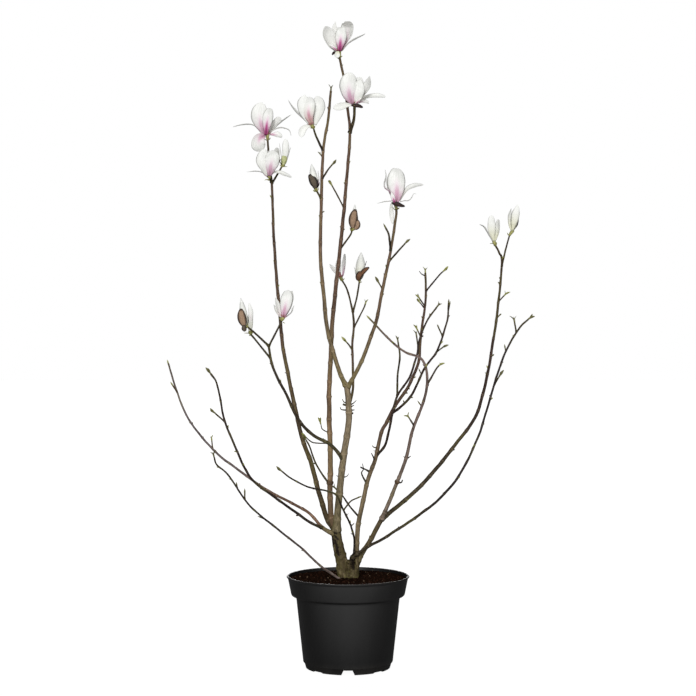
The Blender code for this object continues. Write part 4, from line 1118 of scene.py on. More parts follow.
def add_stem(bm, path, radii, nodes, sides, fresh_from):
    """Grows a stem in bm with its relief and its masks. Its nodes are distances from its foot."""
    layers = bm.verts.layers
    along = distances_along(path)
    rings = grow_tube(bm, path, radii, sides)
    straight = layers.float_vector["straight"]
    age, ring_mask, fresh = (layers.float[name] for name in ("age", "ring", "fresh"))
    start = path[0]
    across, up = RELIEF_WAVES
    for i, ring in enumerate(rings):
        x = along[i]
        centre = path[i]
        here = nearness(x, nodes, NODE_RING * 0.8)
        freshness = max(0.0, 1 - (along[-1] - x) / fresh_from) if fresh_from else 0.0
        for k, vert in enumerate(ring):
            out = (vert.co - centre).normalized()
            turn = 2 * math.pi * k / len(ring)
            flat = Vector((math.cos(turn) * radii[i], math.sin(turn) * radii[i], x))
            vert[straight] = flat + start
            drawn = Vector((flat.x * across, flat.y * across, x * up)) + start * 90
            vert.co += out * RELIEF * (noise.noise(drawn) + 0.6 * noise.noise(drawn * 2.3))
            vert[age] = x / along[-1]
            vert[ring_mask] = here
            vert[fresh] = freshness


def stem_mesh():
    """An empty bmesh with the layers that stems write."""
    bm = bmesh.new()
    bm.verts.layers.float_vector.new("straight")
    for name in ("age", "ring", "fresh"):
        bm.verts.layers.float.new(name)
    return bm


def make_limb(name, seed):
    path, radii, _ = limb_shape(name, FINE_STEP)
    radii = [radius * STOUTER.get(name, 1.0) for radius in radii]
    along = distances_along(path)
    nodes = deal_nodes(random.Random(100 + seed), along[-1])
    collar = 0.6 * radii[0]
    bm = stem_mesh()
    sides = THICK_SIDES if LIMBS[name]["foot"] > SIDES_FROM else THIN_SIDES
    fresh = FRESH_REACH if name in SPRAYS else 0.0
    add_stem(bm, swayed(path, along, seed), swollen(radii, along, nodes, collar), nodes, sides, fresh)
    turn_out(bm)
    solids = ["bough_" + name] if LIMBS[name]["bough"] else []
    if name in SPRAYS:
        solids.append("spray_" + name)
    new_piece("limb_" + name, bm, [bark_materials[name]], solids)
    return nodes


print("bark adds", round(BARK * (1 + math.exp(-1 / 1.6)) / MM, 2), "mm to a radius of 1 mm")

# %% [markdown]
# What grows on a limb is written down as a second table: the twigs of each spray, each with its
# spots, its thickness and what stands on its tip, which is a pointed leaf bud or one of the blooms.

# %% The sprays
SPRAYS = {
    "rear_left": dict(tip="wide_bloom", twigs=[
        ([(-17.5, 110.6, 15), (-17.9, 111.2, 13.6)], 2.4, "low_bloom"),
        ([(-16.9, 110, 15.4), (-15.2, 113.5, 13.4), (-15, 113.9, 13)], 1.8, "green_bud"),
    ]),
    "rear_middle": dict(tip="top_bloom", twigs=[
        ([(0.5, 121.5, 8.1), (1.3, 124.4, 7), (1.5, 127.4, 6)], 3, "upper_bloom"),
        ([(-1.2, 94.9, 3.6), (0.4, 98, 2.6), (1, 99.4, 2)], 1.6, "tan_bud"),
        ([(-1, 104.3, 5.5), (-2.4, 107.2, 5), (-3.6, 109.4, 4.6)], 1.3, "bud"),
    ]),
    "front_left": dict(tip="bud", twigs=[
        ([(-5.9, 117.3, -12), (-7.3, 120.8, -13.2), (-7.9, 122.7, -14)], 1.8, "side_bloom"),
        ([(-6.2, 106.4, -13), (-7.2, 108.4, -13.8)], 1.8, "fur_bud"),
        ([(-5.9, 110.8, -12.6), (-4.6, 113, -13.2), (-3.7, 114.1, -13.6)], 1.4, "bud"),
    ]),
    "front_right": dict(tip="spread_bloom", twigs=[
        ([(9.7, 94.6, -17), (9.3, 98.2, -18.6), (8.6, 99.8, -19.2)], 1.8, "bud"),
        ([(9.2, 92, -16.4), (11.9, 95.1, -15.4), (12.9, 96.2, -15)], 1.5, "bud"),
        ([(7.9, 85.8, -15.2), (7.1, 87.2, -15.9)], 1.2, "bud"),
    ]),
    "front_middle": dict(tip=None, twigs=[
        ([(1.1, 80.7, 5), (-0.1, 85.5, 7.6), (-1.4, 88, 8.8)], 1.6, "half_bloom"),
        ([(1.1, 80.6, 5), (2, 84, 7), (2.6, 87.7, 8)], 1.6, "brown_bloom"),
        ([(1.4, 77, 3.4), (3.5, 81.4, 4.2), (3.9, 82.4, 4.6)], 1.3, "bud"),
        ([(0.9, 72.2, 1), (-0.3, 73.8, -0.6)], 1.2, "bud"),
    ]),
    "left": dict(tip=None, twigs=[
        ([(-18.1, 73, -20), (-21.3, 76, -22), (-23, 77.4, -23)], 1.7, "far_fur_bud"),
        ([(-17.7, 70, -19.2), (-21.1, 74.4, -17.6), (-22.2, 75.7, -16.8)], 1.6, "pale_bud"),
        ([(-18, 72.8, -20), (-15.9, 77, -18.6), (-15, 78.9, -18)], 1.6, "leaning_bloom"),
    ]),
    "right_upright": dict(tip="bud", twigs=[
        ([(17.8, 85.4, 18.4), (20.8, 89.1, 16.8), (21.6, 89.9, 16.4)], 1.4, "bud"),
        ([(17.4, 82, 18.4), (16.4, 83.6, 19.2)], 1.2, "bud"),
    ]),
    "right_inner": dict(tip="bud", twigs=[
        ([(11.2, 61.6, 3.9), (11.3, 66.3, 5), (11.8, 70.5, 5.8), (11.4, 73.8, 6.4)], 1.7, "bud"),
        ([(16, 72.6, 1.2), (15.6, 75.2, 2.4)], 1.2, "bud"),
    ]),
    "right_back": dict(tip="bud", twigs=[
        ([(21.4, 75.2, 27), (20.6, 77.2, 28.6)], 1.2, "bud"),
        ([(20, 71.6, 25.6), (21.5, 72.6, 24)], 1.2, "bud"),
    ]),
    "right_middle": dict(tip="bud", twigs=[
        ([(18, 64, -23.4), (20, 67.6, -22), (20.6, 68.4, -21.4)], 1.5, "bud"),
        ([(15, 54.8, -18.6), (13.9, 56.6, -20.6)], 1.3, "bud"),
    ]),
    "right_far": dict(tip="open_bud", twigs=[
        ([(35, 91, 19), (35.9, 95, 20.4), (36.8, 98.3, 21.2)], 1.6, "slim_bloom"),
        ([(34.3, 83, 17.8), (35.5, 84.4, 18.6)], 1.2, "bud"),
    ]),
    "right_low": dict(tip="bud", twigs=[
        ([(33.2, 64, -22.6), (34.4, 66, -21.6)], 1.2, "bud"),
        ([(38.3, 76, -23.9), (37.9, 78.4, -24.4)], 1.2, "bud"),
    ]),
    "left_upper": dict(tip="bud", twigs=[
        ([(-30.8, 49.6, 15.2), (-31, 51.4, 16.6)], 1.2, "bud"),
        ([(-38.9, 62.4, 20.6), (-39.9, 64, 19.6)], 1.2, "bud"),
    ]),
    "left_lower": dict(tip="bud", twigs=[
        ([(-28, 55.6, -15.2), (-30.2, 57.6, -15.8)], 1.3, "bud"),
    ]),
    "from_soil": dict(tip="bud", twigs=[
        ([(-23.4, 38.2, -16.8), (-23.5, 39.6, -17.8)], 1.1, "bud"),
    ]),
    "inner": dict(tip="bud", twigs=[
        ([(-1, 35.6, -6), (0.6, 37.6, -7.2), (2.2, 38.4, -8)], 1.2, "bud"),
    ]),
    "knot": dict(tip="bud", twigs=[]),
    "behind": dict(tip="bud", twigs=[]),
}
limb_nodes = {name: make_limb(name, seed) for seed, name in enumerate(LIMBS) if name not in TRUNK_PARTS}
print("nodes dealt out:", sum(len(nodes) for nodes in limb_nodes.values()))

# %% [markdown]
# Twigs, spurs and buds follow the rule of the solids: a twig starts at the point of its stem that
# is nearest its first spot, and spurs leave the stem by turns of 137.5 degrees, the angle that
# keeps leaves out of each other's shade. A spur that would touch another limb is left out.

# %% The growing rule
SPUR_LENGTH = (9 * MM, 20 * MM)
SPUR_RADIUS = 1.3 * MM
SPUR_SPACING = 11 * CM
SPUR_TURN = math.radians(137.5)
SPUR_CLEARANCE = 6 * MM
BUD_LENGTH = 15 * MM
BUD_RADIUS = 2.2 * MM
STEM_GAP = 0.3 * MM


def spray_route(name):
    """The stretch of a limb above its bough, in the source's coarse steps."""
    path, _, stations = limb_shape(name, RING_STEP)
    if not LIMBS[name]["bough"]:
        return path
    start = stations[LIMBS[name]["bough"] - 1]
    way = (path[start] - path[start - 1]).normalized()
    first = path[start] + way * STEM_GAP
    return [first, first + 3 * MM * way, *path[start + 1:]]


def sideways(way, turn):
    """A direction at right angles to this one, turned about it."""
    return Matrix.Rotation(turn, 3, way) @ way.orthogonal().normalized()


def step_at(path, along, place):
    """The index of a path's step at this distance along it, and the step's direction."""
    i = max(k for k, x in enumerate(along) if x <= place)
    return i, (path[i + 1] - path[i]).normalized()


def nearest_on(path, point):
    best = path[0]
    for a, b in zip(path, path[1:]):
        share = clamp((point - a).dot(b - a) / (b - a).length_squared)
        here = a.lerp(b, share)
        if (here - point).length < (best - point).length:
            best = here
    return best


def limb_samples():
    """Name, place and radius at close steps along every limb."""
    shapes = {name: limb_shape(name, 0.8 * CM) for name in LIMBS}
    return [(name, place, radius) for name, (path, radii, _) in shapes.items()
            for place, radius in zip(path, radii)]


def touches_limb(points, own, samples):
    return any(name != own and min((place - p).length for p in points) < radius + SPUR_CLEARANCE
               for name, place, radius in samples)


def spur_spots(stem, limb_name, samples, seed):
    """Foot, heading and length of each spur on a stem, by the source's seeded rule."""
    dice = random.Random(seed)
    along = distances_along(stem)
    place = SPUR_SPACING * dice.uniform(0.4, 0.8)
    turn = dice.uniform(0, 2 * math.pi)
    spots = []
    while place < along[-1] - SPUR_SPACING * 0.5:
        i, way = step_at(stem, along, place)
        foot = stem[i] + way * (place - along[i])
        heading = (sideways(way, turn) + way * dice.uniform(0.8, 1.5)).normalized()
        length = dice.uniform(*SPUR_LENGTH)
        tip = foot + heading * length
        if not touches_limb([tip, foot.lerp(tip, 0.5)], limb_name, samples):
            spots.append((foot, heading, length))
        place += SPUR_SPACING * dice.uniform(0.8, 1.2)
        turn += SPUR_TURN
    return spots


samples = limb_samples()
spurs = {name: spur_spots(spray_route(name), name, samples, seed) for seed, name in enumerate(SPRAYS)}
print("spurs:", sum(len(found) for found in spurs.values()))

# %% [markdown]
# The photograph also shows crooked twiglets, thorns and knots at places of their own, which no
# rule would find. They are written down as the places they are seen at, from the stem outwards,
# and take their depth from the point of the stem that is seen nearest.

# %% Small wood
SMALL_WOOD = [
    ("rear_middle", [(-4.3, 41.7), (-4, 41.9)], 8, "burl"),
    ("front", [(-0.6, 58.2), (-1.5, 58.5), (-1.8, 59.1)], 2.1, "thorn"),
    ("front", [(-0.5, 59.2), (-1.2, 59.7)], 2.9, "knob"),
    ("front", [(-0.4, 59.7), (-0.9, 60.2), (-1.3, 60.9)], 2, "thorn"),
    ("front", [(0.6, 57.8), (1.2, 57.6)], 2.8, "knob"),
    ("front", [(0.6, 58.3), (1.5, 58.4)], 2.5, "thorn"),
    ("front", [(0.6, 58.8), (1.4, 59.5)], 2.4, "thorn"),
    ("front", [(0.7, 59.4), (1.3, 60), (1.9, 60.6)], 2, "thorn"),
    ("right_upright", [(4.4, 41.6), (3.3, 43.4), (3.1, 44.2), (3.5, 44.9), (3.3, 46.2)], 2.4, "thorn"),
    ("right_upright", [(3.3, 45), (2.8, 45.4)], 2.2, "knob"),
    ("right_upright", [(3.5, 44.6), (3.9, 44.9)], 2, "knob"),
    ("right_upright", [(6.6, 49.7), (5.9, 49.9), (5.5, 50.3)], 2.2, "thorn"),
    ("right_upright", [(6.2, 46.4), (5.8, 47.6), (5.3, 48.6)], 2.4, "thorn"),
    ("right_upright", [(13.1, 63.4), (13.7, 63.7), (14, 63.1)], 1.9, "knob"),
    ("right_upright", [(17.4, 88.8), (16.8, 89.3), (16.2, 90)], 1.7, "thorn"),
    ("right_upright", [(17.1, 81.6), (16.5, 82.7)], 1.7, "bud"),
    ("right_upright", [(16.6, 74.8), (15.9, 76.4)], 1.7, "bud"),
    ("right_back", [(22.7, 81), (23.1, 82.3)], 2, "bud"),
    ("right_middle", [(13.1, 47.5), (13.7, 47.5), (14.3, 47.9)], 2.1, "thorn"),
    ("right_middle", [(11.2, 41.9), (12.1, 41.9), (12.4, 42.5)], 2, "knob"),
    ("right_middle", [(11.2, 42.2), (11.2, 42.4)], 6, "burl"),
    ("right_far", [(12.6, 37.2), (13.2, 37.5)], 2, "knob"),
    ("right_low", [(8.6, 29.3), (9.1, 29.8)], 2, "knob"),
    ("front", [(-1, 42.7), (-0.3, 43.3), (0.16, 43.9)], 1.9, "thorn"),
    ("front", [(-1.9, 42.9), (-2.64, 43.5)], 1.9, "thorn"),
    ("rear_middle", [(-5, 53), (-5.8, 54), (-6.2, 55.2)], 1.4, "bud"),
    ("rear_middle", [(-5, 50.65), (-7.5, 50.9), (-8.7, 51.4), (-9.56, 52.2)], 1.6, "bud"),
    ("inner", [(0.77, 32.2), (1.1, 32.3), (1.4, 32.7)], 1.8, "thorn"),
    ("inner", [(1.09, 30), (0.6, 30.3)], 1.8, "thorn"),
]
SMALL_ENDS = {"bud": 0.85, "thorn": 0.35, "knob": 0.75}  # the radius at the end, as a share
BURL_LUMPS = 0.16


def seen_at(place):
    """Where a point is seen from the front, as (across, height) in centimetres."""
    reach = (VIEW_DISTANCE + place.y) / VIEW_DISTANCE
    return Vector((place.x / reach / CM, (EYE_HEIGHT + (place.z - EYE_HEIGHT) / reach) / CM))


def small_path(limb_name, places):
    """A path from the middle of a limb through the places where this bit of wood is seen."""
    path, _, _ = limb_shape(limb_name, FINE_STEP)
    start = min(path, key=lambda point: (seen_at(point) - Vector(places[0])).length)
    depth = start.y / CM
    spots = [spot_at(*place, depth - 0.15 * k) for k, place in enumerate(places)]
    return smooth_path([start, *spots[1:]], FINE_STEP * 0.6)[0]


def add_burl(bm, limb_name, place, radius):
    """A lumpy round knot on the front of a limb."""
    middle = small_path(limb_name, [place, place])[0]
    found = bmesh.ops.create_icosphere(bm, subdivisions=4, radius=radius)
    straight = bm.verts.layers.float_vector["straight"]
    for vert in found["verts"]:
        lumps = BURL_LUMPS * noise.noise(vert.co * 260)
        vert.co *= 1 + lumps + 0.5 * BURL_LUMPS * noise.noise(vert.co * 700)
        vert.co += middle
        vert[straight] = vert.co


print("bits of small wood:", len(SMALL_WOOD))

# %% [markdown]
# The twigs, the woody stalks of the spurs and the small wood are joined in one piece. Four plain
# barks are dealt out to them by spray.

# %% Twigs and spurs
TWIG_SIDES = 10
SPUR_SIDES = 8
SPUR_WOOD = 0.45  # the share of a spur that is wood, the rest being its bud
TWIG_SHADES = {
    "green_twig": ((66, 55, 34), (70, 60, 34)),
    "tan_twig": ((98, 78, 58), (88, 70, 50)),
    "red_twig": ((50, 35, 29), (47, 33, 27)),
    "dark_twig": ((35, 28, 23), (41, 34, 21)),
}
TWIG_OF = dict.fromkeys(SPRAYS, "dark_twig")
TWIG_OF.update(rear_middle="green_twig", front_middle="green_twig", right_upright="red_twig",
               right_middle="red_twig", right_far="red_twig", left_upper="tan_twig")
twig_shades = list(TWIG_SHADES)
twig_tips = []  # (kind, tip, way, spray) of every twig and stem end, for the buds and the blooms


def shade_new_faces(bm, count, index):
    """Gives the faces made since there were count of them this material."""
    bm.faces.ensure_lookup_table()
    for face in bm.faces[count:]:
        face.material_index = index


def note_tip(kind, path, name, back=3):
    twig_tips.append((kind, path[-1], (path[-1] - path[-back]).normalized(), name))


def grow_twigs():
    bm = stem_mesh()
    for seed, (name, spray) in enumerate(SPRAYS.items()):
        shade = twig_shades.index(TWIG_OF[name])
        route = spray_route(name)
        if spray["tip"]:
            note_tip(spray["tip"], limb_shape(name, FINE_STEP)[0], name, back=4)
        before = len(bm.faces)
        for k, (spots, radius, kind) in enumerate(spray["twigs"]):
            points = [spot_at(*spot) for spot in spots]
            points[0] = nearest_on(route, points[0])
            path, _ = smooth_path(points, FINE_STEP)
            along = distances_along(path)
            nodes = deal_nodes(random.Random(50 * seed + k), along[-1])
            radii = [radius * MM * (1.12 - 0.24 * x / along[-1]) for x in along]
            add_stem(bm, path, swollen(radii, along, nodes, 2 * MM), nodes, TWIG_SIDES, 4 * CM)
            note_tip(kind, path, name)
        for foot, heading, length in spurs[name]:
            steps = max(3, round(length * SPUR_WOOD / (1.5 * MM)))
            path = [foot + heading * length * SPUR_WOOD * k / steps for k in range(steps + 1)]
            along = distances_along(path)
            radii = [SPUR_RADIUS * (1.25 - 0.3 * k / steps) for k in range(steps + 1)]
            add_stem(bm, path, radii, [along[-1] * 0.55, along[-1]], SPUR_SIDES, 0.0)
        shade_new_faces(bm, before, shade)
    for name, places, radius, kind in SMALL_WOOD:
        before = len(bm.faces)
        if kind == "burl":
            add_burl(bm, name, places[0], radius * MM)
            shade_new_faces(bm, before, twig_shades.index("tan_twig"))
            continue
        path = small_path(name, places)
        last = len(path) - 1
        radii = [radius * MM * (1 - (1 - SMALL_ENDS[kind]) * k / last) for k in range(last + 1)]
        add_stem(bm, path, radii, [], SPUR_SIDES, 0.0)
        shade = TWIG_OF[name] if kind == "bud" else "dark_twig"
        shade_new_faces(bm, before, twig_shades.index(shade))
        if kind == "bud":
            note_tip(kind, path, name)
    turn_out(bm)
    return bm


twig_materials = [bark_material(name, *shades)[0] for name, shades in TWIG_SHADES.items()]
new_piece("twigs", grow_twigs(), twig_materials)
print("tips:", len(twig_tips))

# %% [markdown]
# A magnolia's leaf bud is a narrow pointed spindle, and on this plant many have just opened into two
# small folded leaflets in a V. A spindle is a circle extruded upwards ring by ring with a changing
# width. A leaflet is a small grid, folded along its middle and bent outwards.

# %% Leaf buds
BUD_SIDES = 7
BUD_RINGS = ((0.0, 0.62), (0.12, 0.95), (0.32, 1.0), (0.55, 0.80), (0.78, 0.45), (1.0, 0.06))
LEAFLET_ROWS = 6
LEAFLET_WIDTH = 0.36  # of its length
EDGE_ROOM = 18 * MM  # tips nearer than this to the side of the size box get short leaflets
TIP_BUD, EDGE_BUD = (0.85, 1.2), (0.7, 0.3)  # a bud's length and its leaflets' spread, as shares
BUD_SHADES = {
    "yellow_green_bud": ((170, 168, 92), (118, 122, 50)),
    "olive_bud": ((122, 118, 66), (84, 82, 42)),
    "brown_bud": ((86, 64, 48), (54, 40, 34)),
}
bud_shades = list(BUD_SHADES)


def stance_along(way, turn=0.0):
    """A turn that brings the Z axis to this direction, after a turn about itself."""
    return way.to_track_quat("Z", "Y").to_matrix() @ Matrix.Rotation(turn, 3, "Z")


def add_spindle(bm, foot, way, length, radius):
    path = [foot + way * length * share for share, _ in BUD_RINGS]
    grow_tube(bm, path, [radius * width for _, width in BUD_RINGS], BUD_SIDES)


def add_leaflet(bm, foot, stance, turn, length, lean):
    """A small blade, folded along its middle, that bends away from the bud."""
    grid = bmesh.ops.create_grid(bm, x_segments=2, y_segments=LEAFLET_ROWS, size=0.5)
    around = Matrix.Rotation(turn, 3, "Z")
    for vert in grid["verts"]:
        side, share = 2 * vert.co.x, vert.co.y + 0.5
        angle = lean * (0.35 + 0.65 * share)
        outline = max(0.05, math.sin(math.pi * min(1.0, share * 0.93 + 0.07)) ** 0.8)
        half = 0.5 * LEAFLET_WIDTH * length * outline
        fold = 0.55 * half * abs(side)
        out = length * share * math.sin(angle) - fold * math.cos(angle)
        up = length * share * math.cos(angle) + fold * math.sin(angle)
        vert.co = foot + stance @ (around @ Vector((out + 0.6 * MM, half * side, up)))
    faces = list(dict.fromkeys(face for vert in grid["verts"] for face in vert.link_faces))
    bmesh.ops.solidify(bm, geom=faces, thickness=0.35 * MM)


def grow_buds():
    bm = bmesh.new()
    dice = random.Random(21)

    def add_bud(foot, way, length, radius, shade, leaflets, spread=1.0):
        before = len(bm.faces)
        add_spindle(bm, foot - way * 0.6 * MM, way, length, radius)
        stance = stance_along(way, dice.uniform(-0.6, 0.6))
        for k in range(leaflets):
            add_leaflet(bm, foot + way * length * 0.15, stance, math.pi * k,
                        length * spread * dice.uniform(0.8, 1.1), math.radians(dice.uniform(14, 36)))
        shade_new_faces(bm, before, bud_shades.index(shade))

    for kind, tip, way, name in twig_tips:
        if kind == "bud":
            green = "olive_bud" if TWIG_OF[name] == "dark_twig" else "yellow_green_bud"
            at_edge = not all(low + EDGE_ROOM < x < high - EDGE_ROOM for low, x, high in
                              zip(cad_box[0][:2], tip, cad_box[1][:2]))
            share, spread = EDGE_BUD if at_edge else TIP_BUD
            add_bud(tip, way, BUD_LENGTH * share, BUD_RADIUS * 0.9, green, dice.choice((0, 2, 2, 2, 2)),
                    spread)
    for name, found in spurs.items():
        for foot, heading, length in found:
            wood = length * SPUR_WOOD
            shade = dice.choice(bud_shades[:2])
            add_bud(foot + heading * wood, heading, length - wood, SPUR_RADIUS * 1.25, shade,
                    dice.choice((0, 0, 2)))
    for name, nodes in limb_nodes.items():
        path, radii, _ = limb_shape(name, FINE_STEP)
        along = distances_along(path)
        turn = dice.uniform(0, 2 * math.pi)
        for place in nodes:
            turn += SPUR_TURN
            if place < 5 * CM or place > along[-1] - 1 * CM:
                continue
            i, way = step_at(path, along, place)
            out = sideways(way, turn)
            heading = (out * dice.uniform(0.5, 0.9) + way).normalized()
            foot = path[i] + out * radii[i] * 0.75
            add_bud(foot, heading, dice.uniform(4, 8) * MM, dice.uniform(0.9, 1.4) * MM,
                    dice.choice(bud_shades), dice.choice((0, 0, 0, 2)))
    turn_out(bm)
    return bm


bud_materials = [two_tone(name, deep, light, 0.55, 700.0, 260.0, 0.2 * MM, 0.5)
                 for name, (light, deep) in BUD_SHADES.items()]
new_piece("leaf_buds", grow_buds(), bud_materials)

# %% [markdown]
# The blooms stand where the solids have them, and inside the same reach. Here each petal of a
# bloom, called a tepal on a magnolia, is written out on its own: its kind, its width, the side its
# inner face looks to (front, back, left, right, up or a mix), and the spots its middle runs
# through, as (across, height, depth) in millimetres from the end of the twig.

